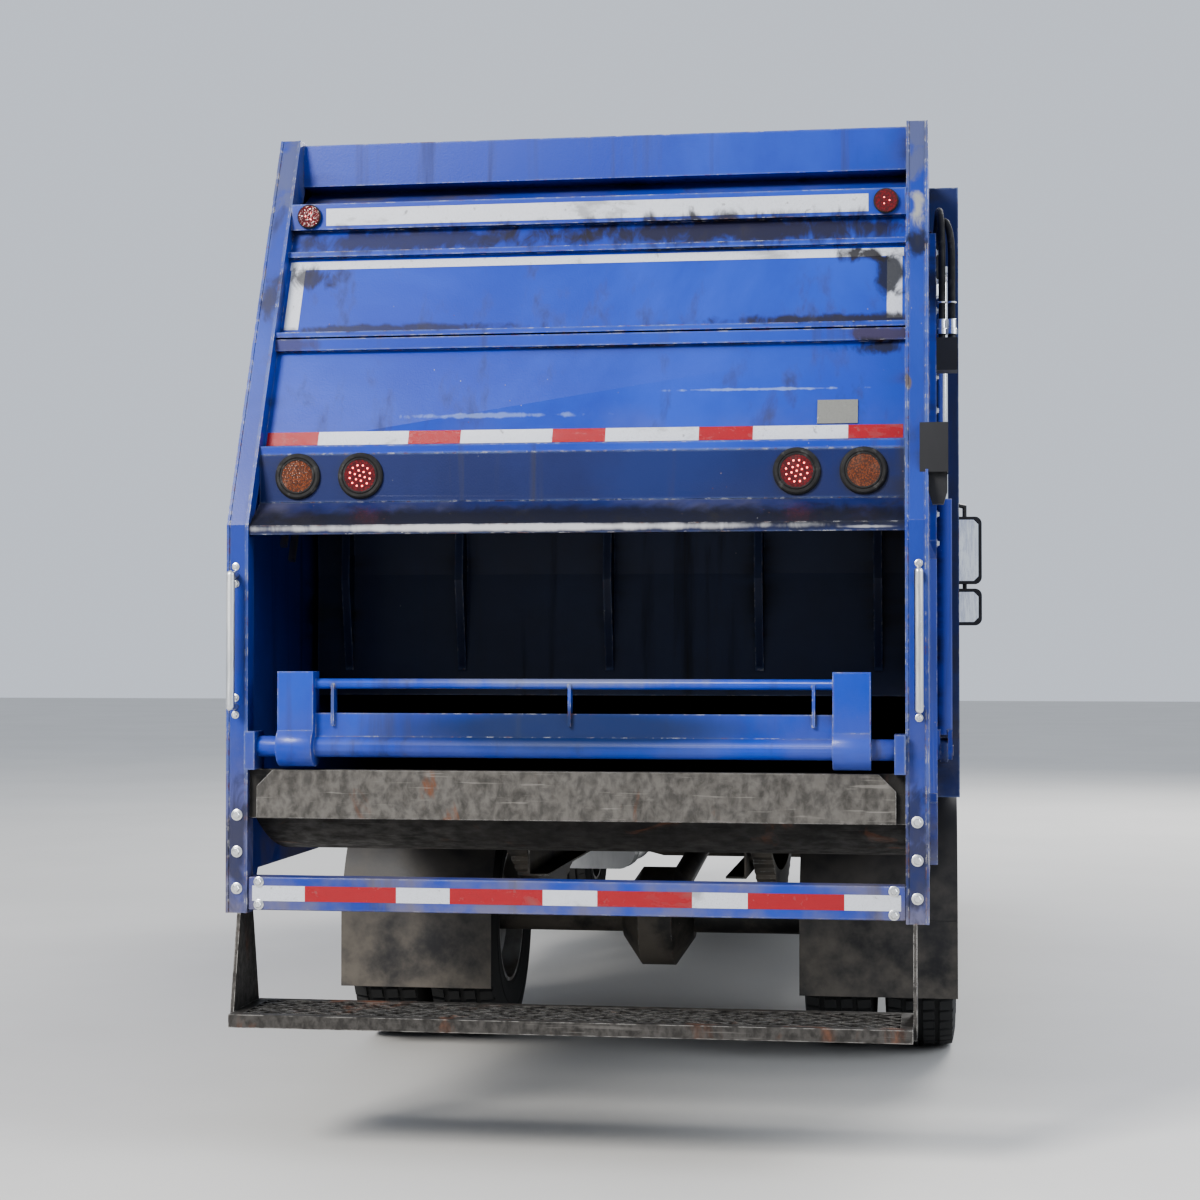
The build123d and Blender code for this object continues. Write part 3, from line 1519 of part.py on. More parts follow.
def carriage():
    """Sliding carriage: a stiff box with four shoes, the rams' rods and the blade's pin blocks."""
    half = tail_inner_x - carriage_side_gap
    pin = (blade_pin_y, blade_pin_z)
    front_inset = carriage_front_inset
    back_inset = carriage_back_inset
    box = side_plate(
        [
            packer_point(-carriage_length, front_inset),
            packer_point(carriage_foot, front_inset),
            packer_point(carriage_foot, back_inset),
            packer_point(-carriage_length, back_inset),
        ],
        (-half, half),
    )
    for rib_x in pin_rib_x:
        box += side_plate(
            [
                packer_point(-300, front_inset - 10),
                packer_point(-300, front_inset + 40),
                packer_point(-20, pin_inset + blade_hub_radius),
                packer_point(50, pin_inset + 40),
                packer_point(50, front_inset - 10),
            ],
            (rib_x - 20, rib_x + 20),
        )
        box += cross_bar((rib_x - 20, rib_x + 20), *pin, blade_hub_radius)
    box += cross_bar((40 - half, half - 40), *pin, blade_pin_radius)
    low = guide_centre_inset - shoe_height / 2
    high = guide_centre_inset + shoe_height / 2
    for down in shoe_places:
        corner = [
            packer_point(down - shoe_half_length, low),
            packer_point(down + shoe_half_length, low),
            packer_point(down + shoe_half_length, high),
            packer_point(down - shoe_half_length, high),
        ]
        box += side_plate(corner, (half - 40, tail_inner_x - fit_gap))
        box += side_plate(corner, (-tail_inner_x + fit_gap, 40 - half))
    for side in (-1, 1):
        x = side * packer_x
        box += side_plate(
            [
                packer_point(-90, back_inset + 5),
                packer_point(30, back_inset + 5),
                packer_point(20, packer_inset - 45),
                packer_point(-80, packer_inset - 45),
            ],
            (x - 40, x + 40),
        )
        top = packer_point(-barrel_rest - barrel_length + 70, packer_inset)
        box += bar((x, *packer_point(-40, packer_inset)), (x, *top), barrel_bore)
    return box


pin_rib_x = (-780, -300, 300, 780)


def sweep_blade():
    """Blade on the carriage's pin: hub tube, curved plate with ribs and a wear edge."""
    half = tail_inner_x - carriage_side_gap
    pin = (blade_pin_y, blade_pin_z)
    hub_tube = cross_bar((-half, half), *pin, blade_hub_radius)
    plate = side_plate(
        [
            (pin[0] + 20, pin[1] - 20),
            (pin[0] + 48, pin[1] - 400),
            (pin[0] + 20, pin[1] - blade_radius + 1),
            (pin[0] - 20, pin[1] - blade_radius + 1),
            (pin[0] - 10, pin[1] - 400),
            (pin[0] - 40, pin[1] - 20),
        ],
        (-half, half),
    )
    for rib_x in (-960, -540, 0, 540, 960):
        plate += side_plate(
            [
                (pin[0], pin[1] - 20),
                (pin[0] - 70, pin[1] - 60),
                (pin[0] - 90, pin[1] - 420),
                (pin[0] - 24, pin[1] - blade_radius + 90),
            ],
            (rib_x - 15, rib_x + 15),
        )
    blade = hub_tube + plate
    for rib_x in pin_rib_x:
        blade -= cross_bar((rib_x - 26, rib_x + 26), *pin, blade_hub_radius + 90)
    return blade - cross_bar((-2 * half, 2 * half), *pin, blade_pin_radius + fit_gap)


def lifter():
    """Bin lifter on the sill: a cross shaft, two box arms and a toothed comb between them."""
    y = lifter_shaft_y
    z = lifter_shaft_z
    half = lifter_arm_width / 2
    arm = block(
        (lifter_arm_x - half, lifter_arm_x + half),
        (y - lifter_arm_depth / 2, y + lifter_arm_depth / 2),
        (z, z + lifter_arm_height),
    )
    arm += cross_bar((lifter_arm_x - half, lifter_arm_x + half), y, z, lifter_shaft_rise - 10)
    shape = arm + mirrored(arm)
    end = post_inner_x - 6
    shape += cross_bar((-end, end), y, z, lifter_shaft_radius)
    inner = lifter_arm_x - half + 2
    shape += block((-inner, inner), (y - 8, y + 8), (z, z + comb_height))
    shape += cross_bar((-inner, inner), y, z + comb_tube_rise, comb_tube_radius)
    for flat_x in (-comb_flat_x, 0, comb_flat_x):
        shape += block((flat_x - 5, flat_x + 5), (y - 22, y + 22), (z + comb_height - 40, z + comb_tube_rise))
    return shape


def control_boxes():
    """Push-button box with its cable boot round the right post, and the valve box on the guides' channel."""
    side = tail_half_width
    low = button_box_z[0]
    rear = body_rear_y - tail_outline_depth(low)
    case = block((side - 27, side + button_box_width), (rear, rear + button_box_depth), button_box_z)
    outer = side + button_box_width - 3
    boot = [
        (side + 1, low + 1),
        (outer, low + 1),
        (outer, low - 0.6 * boot_height),
        (outer - 12, low - boot_height),
        (side + 13, low - boot_height),
        (side + 1, low - 0.6 * boot_height),
    ]
    case += cross_plate(boot, (rear + 25, rear + button_box_depth - 25))
    seat_x = side + side_rib_rise
    middle_z = (valve_box_z[0] + valve_box_z[1]) / 2
    middle_y = slope_point(middle_z, guide_centre_inset)[0]
    valve_y = (middle_y - valve_box_depth / 2, middle_y + valve_box_depth / 2)
    valve = block((seat_x, seat_x + valve_box_width), valve_y, valve_box_z)
    for port_x in (seat_x + 20, seat_x + 54):
        valve += bar((port_x, middle_y, valve_box_z[1] - 1), (port_x, middle_y, valve_box_z[1] + 22), 13)
    case = case - tail_side() - tail_post()
    return Compound([*case.solids(), *valve.solids()])


# Lift cylinders

lift_run = Vector(0, lift_foot_depth - lift_eye_depth, lift_eye_z - lift_foot_z)
lift_axis = lift_run.normalized()


def along_lift(distance, x):
    """A point up the lift cylinder's line from its foot pin."""
    foot = Vector(x, body_rear_y - lift_foot_depth, lift_foot_z)
    return tuple(foot + lift_axis * distance)


def lift_barrels():
    """Barrels of the two cylinders that raise the tailgate, each forked over its foot."""
    x = lift_cylinder_x
    barrel = bar(along_lift(62, x), along_lift(lift_barrel_length, x), lift_barrel_radius)
    barrel -= bar(along_lift(110, x), along_lift(lift_barrel_length + 10, x), lift_rod_radius + fit_gap)
    for side in (-1, 1):
        ear_x = sorted((x + side * (14 + fit_gap), x + side * 32))
        foot = along_lift(0, x)
        ear = cross_bar(ear_x, foot[1], foot[2], 36)
        ear += side_plate(
            [
                (foot[1] - 34, foot[2]),
                (foot[1] + 34, foot[2]),
                (along_lift(80, x)[1] + 34, foot[2] + 80),
                (along_lift(80, x)[1] - 34, foot[2] + 80),
            ],
            ear_x,
        )
        barrel += ear - cross_bar(ear_x, foot[1], foot[2], 20 + fit_gap)
    return pair(barrel)


def lift_rods():
    """Rods of the lift cylinders, each with an eye beside the tailgate's boss."""
    x = lift_cylinder_x
    length = lift_run.length
    rod = bar(along_lift(130, x), along_lift(length - 20, x), lift_rod_radius)
    eye = along_lift(length, x)
    rod += cross_bar((x - 18, x + 18), eye[1], eye[2], 34)
    return pair(rod)


def at_wheel(shape, y):
    """A right-hand wheel piece moved to its axle."""
    return Pos(0, y, 0) * shape


def all_parts():
    """Node name and shape of every piece."""
    shell = cab_shell()
    right_front_tyre = at_wheel(tyre(front_wheel_x), front_axle_y)
    right_front_wheel = at_wheel(front_wheel(), front_axle_y)
    right_rear_tyres = at_wheel(Compound([tyre(inner_twin_x), tyre(outer_twin_x)]), rear_axle_y)
    right_rear_wheels = at_wheel(rear_wheels(), rear_axle_y)
    right_knuckle = at_wheel(knuckle(), front_axle_y)
    right_door = door(shell)
    right_glass = door_glass()
    return {
        "chassis_frame": chassis_frame(),
        "powertrain": powertrain(),
        "front_axle": front_axle(),
        "rear_axle": rear_axle(),
        "leaf_springs": leaf_springs(),
        "front_bumper": front_bumper(),
        "headlamps": headlamps(),
        "cab_steps": cab_steps(),
        "front_mudguards": front_mudguards(),
        "rear_mudguards": rear_mudguards(),
        "fuel_tank": fuel_tank(),
        "battery_box": battery_box(),
        "side_guards": side_guards(),
        "body_floor": body_floor(),
        "body_walls": body_walls(),
        "body_roof": body_roof(),
        "body_front": body_front(),
        "rear_frame": rear_frame(),
        "ejector": ejector(),
        "cab_floor": cab_floor(),
        "cab_front": cab_front(shell),
        "cab_back": cab_back(shell),
        "cab_roof": cab_roof(shell),
        "cab_glass": cab_glass(),
        "dashboard": dashboard(),
        "seats": seats(),
        "mirrors": mirrors(),
        "door_right": right_door,
        "door_left": mirrored(right_door),
        "door_glass_right": right_glass,
        "door_glass_left": mirrored(right_glass),
        "knuckle_right": right_knuckle,
        "knuckle_left": mirrored(right_knuckle),
        "front_tyre_right": right_front_tyre,
        "front_tyre_left": mirrored(right_front_tyre),
        "front_wheel_right": right_front_wheel,
        "front_wheel_left": mirrored(right_front_wheel),
        "rear_tyres_right": right_rear_tyres,
        "rear_tyres_left": mirrored(right_rear_tyres),
        "rear_wheels_right": right_rear_wheels,
        "rear_wheels_left": mirrored(right_rear_wheels),
        "tailgate_sides": tailgate_sides(),
        "tail_posts": tail_posts(),
        "guide_rails": guide_rails(),
        "tailgate_cover": tailgate_cover(),
        "hopper_bucket": hopper_bucket(),
        "sill_plate": sill_plate(),
        "lamp_panel": lamp_panel(),
        "stop_lamps": stop_lamps(),
        "turn_lamps": turn_lamps(),
        "rear_bar": rear_bar(),
        "rear_step": rear_step(),
        "grab_rails": grab_rails(),
        "packer_barrels": packer_barrels(),
        "control_box": control_boxes(),
        "carriage": carriage(),
        "sweep_blade": sweep_blade(),
        "lifter": lifter(),
        "lift_barrels": lift_barrels(),
        "lift_rods": lift_rods(),
    }


os.makedirs("parts", exist_ok=True)
for name, shape in all_parts().items():
    solids = Compound(list(shape.solids()))
    export_step(solids, f"parts/{name}.step")
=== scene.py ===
"""Finishes, fittings, light and camera for a rear-loading refuse truck."""

import logging
import math
from dataclasses import dataclass, field
from enum import Enum
from typing import Mapping, Sequence

import bmesh
import bpy
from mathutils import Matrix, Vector


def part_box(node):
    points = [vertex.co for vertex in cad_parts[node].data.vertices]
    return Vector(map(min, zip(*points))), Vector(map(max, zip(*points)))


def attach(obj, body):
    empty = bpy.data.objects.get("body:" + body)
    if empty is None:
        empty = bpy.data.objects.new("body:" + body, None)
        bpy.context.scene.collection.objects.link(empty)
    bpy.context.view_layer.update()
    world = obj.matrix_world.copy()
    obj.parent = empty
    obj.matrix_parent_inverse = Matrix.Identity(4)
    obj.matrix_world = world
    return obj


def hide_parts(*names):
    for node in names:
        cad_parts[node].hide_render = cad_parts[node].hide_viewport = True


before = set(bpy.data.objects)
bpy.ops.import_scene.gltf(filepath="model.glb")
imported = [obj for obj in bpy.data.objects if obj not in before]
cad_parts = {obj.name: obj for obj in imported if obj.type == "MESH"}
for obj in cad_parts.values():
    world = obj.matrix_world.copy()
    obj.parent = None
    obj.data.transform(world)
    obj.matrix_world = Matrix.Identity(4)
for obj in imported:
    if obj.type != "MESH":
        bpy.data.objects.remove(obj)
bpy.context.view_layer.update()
LOG = logging.getLogger("refuse_truck")

Colour = tuple[float, float, float]
Point = tuple[float, float, float]
Span = tuple[float, float]
Profile = Sequence[Span]
Socket = bpy.types.NodeSocket

REARWARD: Point = (0.0, -1.0, 0.0)
FORWARD: Point = (0.0, 1.0, 0.0)
UPWARD: Point = (0.0, 0.0, 1.0)
RIGHTWARD: Point = (1.0, 0.0, 0.0)


# Shader building


@dataclass(frozen=True)
class StainAndShadow:
    """A ragged patch of another colour at one place on the truck: most are real marks, some are painted
    shadow and shade.
    """

    centre: Point
    reach: Point
    colour: Colour
    strength: float = 0.9
    ragged: float = 2.6
    fade: float = 0.65


class Shading:
    """One material's shader, with short calls for the patterns that the finishes share."""

    def __init__(self, name: str) -> None:
        """Starts a material with one main shader.

        Args:
            name: The material's name.
        """
        self.material = bpy.data.materials.new(name)
        self.material.use_nodes = True
        self.tree = self.material.node_tree
        self.tree.nodes.clear()
        self.surface = self.node("ShaderNodeBsdfPrincipled")
        self.node("ShaderNodeOutputMaterial", {"Surface": self.surface.outputs["BSDF"]})
        self.place = self.node("ShaderNodeTexCoord").outputs["Object"]
        self.facing = self.node("ShaderNodeNewGeometry").outputs["Normal"]

    def node(
        self, kind: str, inputs: Mapping[str | int, object] | None = None, **settings: object
    ) -> bpy.types.Node:
        """Adds a node.

        Args:
            kind: Blender's name for the node.
            inputs: What its inputs are fed, by their names or places.
            settings: Attributes to set on it.

        Returns:
            The new node.
        """
        made = self.tree.nodes.new(kind)
        for name, value in settings.items():
            setattr(made, name, value)
        for key, value in (inputs or {}).items():
            self.feed(made.inputs[key], value)
        return made

    def feed(self, socket: Socket, value: object) -> None:
        """Links a socket to another, or sets its number.

        Args:
            socket: The input to feed.
            value: A socket, number or colour.
        """
        if isinstance(value, bpy.types.NodeSocket):
            self.tree.links.new(value, socket)
        elif isinstance(value, tuple) and len(value) == 3 and socket.type == "RGBA":
            socket.default_value = (*value, 1.0)
        else:
            socket.default_value = value

    def stretched(self, stretch: Point) -> Socket:
        """The object's own coordinates, scaled on each axis.

        Args:
            stretch: Scale on X, Y and Z.

        Returns:
            A vector socket.
        """
        return self.node("ShaderNodeMapping", {"Vector": self.place, "Scale": stretch}).outputs["Vector"]

    def noise(
        self, scale: float, detail: float = 4.0, stretch: Point = (1, 1, 1), swirl: float = 0.0
    ) -> Socket:
        """Cloudy noise from 0 to 1.

        Args:
            scale: Features for each metre.
            detail: Octaves of finer noise.
            stretch: Extra scale on each axis.
            swirl: How much the noise is distorted.

        Returns:
            A number socket.
        """
        inputs = {"Vector": self.stretched(stretch), "Scale": scale, "Detail": detail}
        made = self.node("ShaderNodeTexNoise", {**inputs, "Roughness": 0.6, "Distortion": swirl})
        return made.outputs["Fac"]

    def cells(self, scale: float, stretch: Point = (1, 1, 1), feature: str = "F1") -> Socket:
        """Distance pattern of scattered cells.

        Args:
            scale: Cells for each metre.
            stretch: Extra scale on each axis.
            feature: Which distance is measured.

        Returns:
            A number socket.
        """
        inputs = {"Vector": self.stretched(stretch), "Scale": scale}
        return self.node("ShaderNodeTexVoronoi", inputs, feature=feature).outputs["Distance"]

    def band(self, value: Socket, low: float, high: float, bottom: float = 0.0, top: float = 1.0) -> Socket:
        """Maps a range of a value to a range of numbers, clamped and smooth.

        Args:
            value: The number to map.
            low: Value that gives bottom.
            high: Value that gives top.
            bottom: Number at low.
            top: Number at high.

        Returns:
            A number socket.
        """
        inputs = {"Value": value, "From Min": low, "From Max": high, "To Min": bottom, "To Max": top}
        return self.node("ShaderNodeMapRange", inputs, interpolation_type="SMOOTHSTEP").outputs["Result"]

    def combine(self, operation: str, first: object, second: object) -> Socket:
        """Two numbers put together.

        Args:
            operation: Blender's name for the sum, such as ADD or MAXIMUM.
            first: Number or socket.
            second: Number or socket.

        Returns:
            A number socket, clamped to 0 to 1.
        """
        made = self.node("ShaderNodeMath", {0: first, 1: second}, operation=operation, use_clamp=True)
        return made.outputs["Value"]

    def times(self, first: object, second: object) -> Socket:
        """The product of two numbers or sockets, clamped to 0 to 1."""
        return self.combine("MULTIPLY", first, second)

    def blend(self, share: object, first: object, second: object) -> Socket:
        """A colour between two others.

        Args:
            share: How much of the second colour shows.
            first: Colour or socket.
            second: Colour or socket.

        Returns:
            A colour socket.
        """
        return self.node("ShaderNodeMix", {0: share, 6: first, 7: second}, data_type="RGBA").outputs[2]

    def patch(self, mark: StainAndShadow, fray: Socket) -> Socket:
        """Bright inside one patch, a real mark or a painted shadow, with its edge moved in and out.

        Args:
            mark: The stain.
            fray: Noise that moves the edge.

        Returns:
            A number socket.
        """
        inputs = {"Vector": self.place, "Location": mark.centre, "Scale": mark.reach}
        mapping = self.node("ShaderNodeMapping", inputs, vector_type="TEXTURE")
        length = self.node("ShaderNodeVectorMath", {0: mapping.outputs["Vector"]}, operation="LENGTH")
        inputs = {0: fray, 1: mark.ragged, 2: length.outputs["Value"]}
        frayed = self.node("ShaderNodeMath", inputs, operation="MULTIPLY_ADD").outputs["Value"]
        edge = 1.0 + mark.ragged / 2
        return self.times(self.band(frayed, edge, edge - mark.fade), mark.strength)

    def stained_and_shaded(self, colour: object, stains_and_shadows: Sequence[StainAndShadow]) -> object:
        """Lays patches over a colour: real marks, and some painted shadows and shade.

        Args:
            colour: Colour or socket under the patches.
            stains_and_shadows: The stains, lowest first.

        Returns:
            The colour with the patches laid on, or the same one if there are none.
        """
        if not stains_and_shadows:
            return colour
        fray = self.noise(13.0, 9.0, (1.2, 1.2, 0.55), 0.6)
        for mark in stains_and_shadows:
            colour = self.blend(self.patch(mark, fray), colour, mark.colour)
        return colour

    def upright(self, vector: Socket) -> Socket:
        """The Z part of a vector."""
        return self.node("ShaderNodeSeparateXYZ", {"Vector": vector}).outputs["Z"]

    def height(self) -> Socket:
        """Height above the road."""
        return self.upright(self.place)

    def upward(self) -> Socket:
        """Bright on faces that look up."""
        return self.band(self.upright(self.facing), 0.45, 0.95)

    def edges(self, radius: float) -> Socket:
        """Bright where the surface turns sharply.

        Args:
            radius: How far from an edge the mask reaches, in metres.

        Returns:
            A number socket.
        """
        rounded = self.node("ShaderNodeBevel", {"Radius": radius}, samples=4)
        normals = {0: rounded.outputs["Normal"], 1: self.facing}
        dot = self.node("ShaderNodeVectorMath", normals, operation="DOT_PRODUCT")
        return self.band(dot.outputs["Value"], 0.985, 0.86)

    def corners(self, reach: float) -> Socket:
        """Bright in corners and recesses, by ambient occlusion; darkening a colour with it paints shade.

        Args:
            reach: How far away a neighbour still counts, in metres.

        Returns:
            A number socket.
        """
        made = self.node("ShaderNodeAmbientOcclusion", {"Distance": reach}, samples=5)
        return self.band(made.outputs["AO"], 0.92, 0.35)

    def relief(self, height: Socket, depth: float, strength: float = 1.0) -> None:
        """Adds bumps to the surface.

        Args:
            height: Pattern of the bumps.
            depth: Their height in metres.
            strength: How strongly they show.
        """
        inputs = {"Distance": depth, "Strength": strength, "Height": height}
        self.set(Normal=self.node("ShaderNodeBump", inputs).outputs["Normal"])

    def set(self, **values: object) -> None:
        """Feeds the main shader's inputs; an underscore in a name stands for a space.

        Args:
            values: Input name and its socket, number or colour.
        """
        for name, value in values.items():
            self.feed(self.surface.inputs[name.replace("_", " ")], value)


# Finishes

# Dark grime colour; it also paints shade into corners and recesses.
GRIME_AND_SHADE: Colour = (0.022, 0.021, 0.020)
ROAD_DUST: Colour = (0.17, 0.150, 0.125)
RUST: Colour = (0.13, 0.048, 0.021)
BARE_METAL: Colour = (0.40, 0.40, 0.39)
SOOT: Colour = (0.006, 0.006, 0.009)
SLUDGE: Colour = (0.014, 0.011, 0.012)
CHALK: Colour = (0.30, 0.30, 0.26)

TAIL_STAINS_AND_SHADOWS: tuple[StainAndShadow, ...] = (
    # The first two darken the band under the top beam: sludge, and the painted shadow of the beam.
    StainAndShadow((0.50, -3.48, 3.072), (0.95, 0.16, 0.075), SLUDGE, 0.92, 2.0),
    StainAndShadow((-0.62, -3.48, 3.066), (0.70, 0.14, 0.060), SLUDGE, 0.80, 2.0),
    StainAndShadow((1.02, -3.50, 2.905), (0.075, 0.30, 0.095), SOOT, 0.92),
    StainAndShadow((0.93, -3.50, 2.968), (0.105, 0.30, 0.034), SLUDGE, 0.95),
    StainAndShadow((-0.98, -3.50, 2.930), (0.110, 0.30, 0.050), SLUDGE, 0.85),
    StainAndShadow((0.86, -3.60, 2.737), (0.55, 0.12, 0.026), SLUDGE, 0.92, 2.0),
    StainAndShadow((-0.70, -3.60, 2.737), (0.55, 0.12, 0.022), SLUDGE, 0.80, 2.0),
    StainAndShadow((1.02, -3.66, 2.678), (0.20, 0.12, 0.040), (0.045, 0.030, 0.030), 0.85, 2.0),
    StainAndShadow((-1.02, -3.66, 2.678), (0.15, 0.12, 0.036), (0.045, 0.030, 0.030), 0.65, 2.0),
    StainAndShadow((0.97, -3.68, 2.634), (0.14, 0.12, 0.032), SOOT, 0.90),
    StainAndShadow((0.60, -3.72, 2.497), (0.34, 0.10, 0.006), (0.30, 0.40, 0.62), 0.45, 3.0),
    StainAndShadow((-0.30, -3.72, 2.420), (0.30, 0.10, 0.010), (0.30, 0.40, 0.62), 0.35, 3.0),
)
POST_STAINS_AND_SHADOWS: tuple[StainAndShadow, ...] = (
    StainAndShadow((1.104, -3.36, 3.420), (0.10, 0.30, 0.230), (0.085, 0.095, 0.160), 0.80),
    StainAndShadow((1.104, -3.50, 3.122), (0.030, 0.20, 0.085), CHALK, 0.85, 3.2),
    StainAndShadow((1.104, -3.54, 2.985), (0.060, 0.20, 0.070), SOOT, 0.90),
    StainAndShadow((1.076, -3.75, 2.507), (0.020, 0.20, 0.050), (0.100, 0.078, 0.066), 0.92),
    StainAndShadow((-1.104, -3.40, 3.330), (0.10, 0.30, 0.190), (0.085, 0.095, 0.160), 0.70),
    StainAndShadow((-1.100, -3.60, 2.860), (0.050, 0.20, 0.090), SLUDGE, 0.75),
    # The last two are painted shadow over the posts' lower ends.
    StainAndShadow((1.104, -3.96, 0.980), (0.080, 0.20, 0.270), SOOT, 0.70),
    StainAndShadow((-1.104, -3.96, 0.980), (0.080, 0.20, 0.270), SOOT, 0.70),
)
LIP_MARKS_AND_SHADOW: tuple[StainAndShadow, ...] = (
    # Painted shadow along the gap above the lip bar.
    StainAndShadow((0.0, -3.95, 2.060), (2.40, 0.40, 0.070), SOOT, 0.92, 0.8),
    StainAndShadow((-0.20, -3.963, 2.036), (1.20, 0.012, 0.017), (0.46, 0.46, 0.48), 0.95, 1.0),
    StainAndShadow((0.95, -3.963, 2.030), (0.12, 0.008, 0.007), (0.34, 0.34, 0.36), 0.80, 1.4),
)
LIFTER_MARKS_AND_SHADE: tuple[StainAndShadow, ...] = (
    # Painted shade: a darker blue over the lifter's lower part.
    StainAndShadow((0.0, -3.95, 1.385), (0.838, 0.30, 0.110), (0.007, 0.018, 0.065), 0.92, 0.12),
    StainAndShadow((0.0, -3.97, 1.560), (0.80, 0.10, 0.050), (0.16, 0.17, 0.20), 0.70, 0.9),
)


def shaded(colour: Colour, share: float) -> Colour:
    """A colour made darker by a share."""
    return tuple(c * share for c in colour)


@dataclass(frozen=True)
class Finish:
    """A named finish that can be made into a material."""

    name: str

    def material(self) -> bpy.types.Material:
        """The finish as a new material.

        Returns:
            The material.
        """
        shading = Shading(self.name)
        self.lay(shading)
        return shading.material

    def lay(self, s: Shading) -> None:
        """Fills in the shader; each kind of finish has its own way."""
        raise NotImplementedError


@dataclass(frozen=True)
class Paint(Finish):
    """Sprayed paint on steel, with faded clouds, worn and chipped edges, rust, running grime and staining;
    the worn edges are partly a painted highlight, corners and recesses get painted shade, and some patches
    are painted shadows.
    """

    colour: Colour
    faded: Colour
    roughness: float = 0.33
    # Strength of the grime runs and of the painted shade in corners.
    grime: float = 0.8
    chips: float = 1.0
    # Colour of the worn edges, partly a painted highlight.
    rubbed_and_highlit: Colour = (0.15, 0.20, 0.34)
    # Patches laid on top: real marks, and some painted shadows.
    stains_and_shadows: tuple[StainAndShadow, ...] = ()

    def lay(self, s: Shading) -> None:
        """Lays the paint.

        Args:
            s: The shader to fill in.
        """
        clouds = s.band(s.noise(0.8, 6.0, (1, 1, 0.8), 0.4), 0.40, 0.64)
        colour = s.blend(clouds, self.colour, self.faded)
        # Lighter along the edges: partly paint worn thin, partly a painted highlight.
        rub_and_highlight = s.times(s.edges(0.012), s.band(s.noise(9.0, 5.0), 0.34, 0.60, 0.15, 0.75))
        colour = s.blend(s.times(rub_and_highlight, self.chips), colour, self.rubbed_and_highlit)
        runs = s.band(s.noise(9.0, 8.0, (1, 1, 0.05), 0.2), 0.54, 0.74, 0.0, 0.80)
        # Grime smears in corners and recesses, masked by occlusion: partly dirt, partly painted shade.
        smear_and_shade = s.times(s.band(s.noise(2.6, 8.0, (0.5, 0.5, 2.2)), 0.46, 0.62), s.corners(0.16))
        low = s.band(s.height(), 1.75, 0.35, 0.0, 0.85)
        low = s.times(low, s.band(s.noise(4.0, 7.0), 0.36, 0.62))
        # Runs and corner smears together: grime, with painted shade in the corners.
        dirt = s.times(s.combine("MAXIMUM", runs, smear_and_shade), self.grime)
        colour = s.blend(dirt, colour, GRIME_AND_SHADE)
        colour = s.blend(low, colour, ROAD_DUST)
        dust = s.times(s.upward(), s.band(s.noise(3.0, 7.0), 0.40, 0.72, 0.06, 0.42))
        colour = s.blend(dust, colour, ROAD_DUST)
        # Real marks and painted shadows from the finish's table.
        colour = s.stained_and_shaded(colour, self.stains_and_shadows)
        worn = s.times(s.edges(0.007), s.band(s.noise(38.0, 6.0), 0.50, 0.58))
        specks = s.band(s.cells(24.0, (1, 1, 0.7)), 0.055, 0.025)
        specks = s.times(specks, s.band(s.noise(1.7, 3.0), 0.52, 0.60))
        bare = s.times(s.combine("MAXIMUM", worn, specks), self.chips)
        metal = s.blend(s.band(s.noise(14.0, 5.0), 0.42, 0.60), BARE_METAL, RUST)
        colour = s.blend(bare, colour, metal)
        rough = s.combine("ADD", s.times(s.combine("MAXIMUM", dirt, low), 0.42), self.roughness)
        rough = s.combine("ADD", rough, s.times(dust, 0.3))
        s.set(Base_Color=colour, Roughness=rough, Specular_IOR_Level=0.4)
        s.set(Coat_Weight=0.12, Coat_Roughness=0.15)
        skin = s.times(s.noise(160.0, 3.0), 0.25)
        dents = s.times(s.noise(2.1, 3.0), 0.75)
        s.relief(s.combine("SUBTRACT", s.combine("ADD", skin, dents), s.times(bare, 0.2)), 0.004, 0.35)


@dataclass(frozen=True)
class WornSteel(Finish):
    """Bare steel scoured by refuse: scratched, discoloured and rusting, with painted shade in its corners."""

    colour: Colour
    rust: float = 0.6
    metal: float = 0.75
    roughness: float = 0.42
    mottle: float = 21.0

    def lay(self, s: Shading) -> None:
        """Lays the worn steel.

        Args:
            s: The shader to fill in.
        """
        mottle = s.band(s.noise(self.mottle, 9.0, (1, 1, 0.7), 0.3), 0.34, 0.68)
        colour = s.blend(mottle, self.colour, shaded(self.colour, 0.42))
        rust = s.band(s.noise(5.0, 8.0, (1, 1, 0.6), 1.0), 0.64 - 0.16 * self.rust, 0.72)
        colour = s.blend(rust, colour, RUST)
        scratches = s.band(s.noise(60.0, 4.0, (0.06, 1, 1.3)), 0.60, 0.68)
        bared = tuple(min(0.5, 1.9 * c + 0.01) for c in self.colour)
        colour = s.blend(s.times(scratches, 0.5), colour, bared)
        bright = s.times(s.edges(0.006), s.band(s.noise(26.0, 5.0), 0.40, 0.56))
        colour = s.blend(s.times(bright, 0.8), colour, (0.45, 0.44, 0.42))
        # Darker in corners and recesses: painted shade.
        colour = s.blend(s.times(s.corners(0.12), 0.8), colour, GRIME_AND_SHADE)
        rough = s.band(s.noise(18.0, 6.0), 0.3, 0.7, self.roughness, self.roughness + 0.34)
        metallic = s.band(rust, 0.2, 0.8, self.metal, 0.05)
        s.set(Base_Color=colour, Metallic=metallic, Roughness=rough)
        s.relief(s.combine("ADD", s.times(s.noise(46.0, 6.0), 0.6), s.times(rust, 0.4)), 0.002, 0.5)


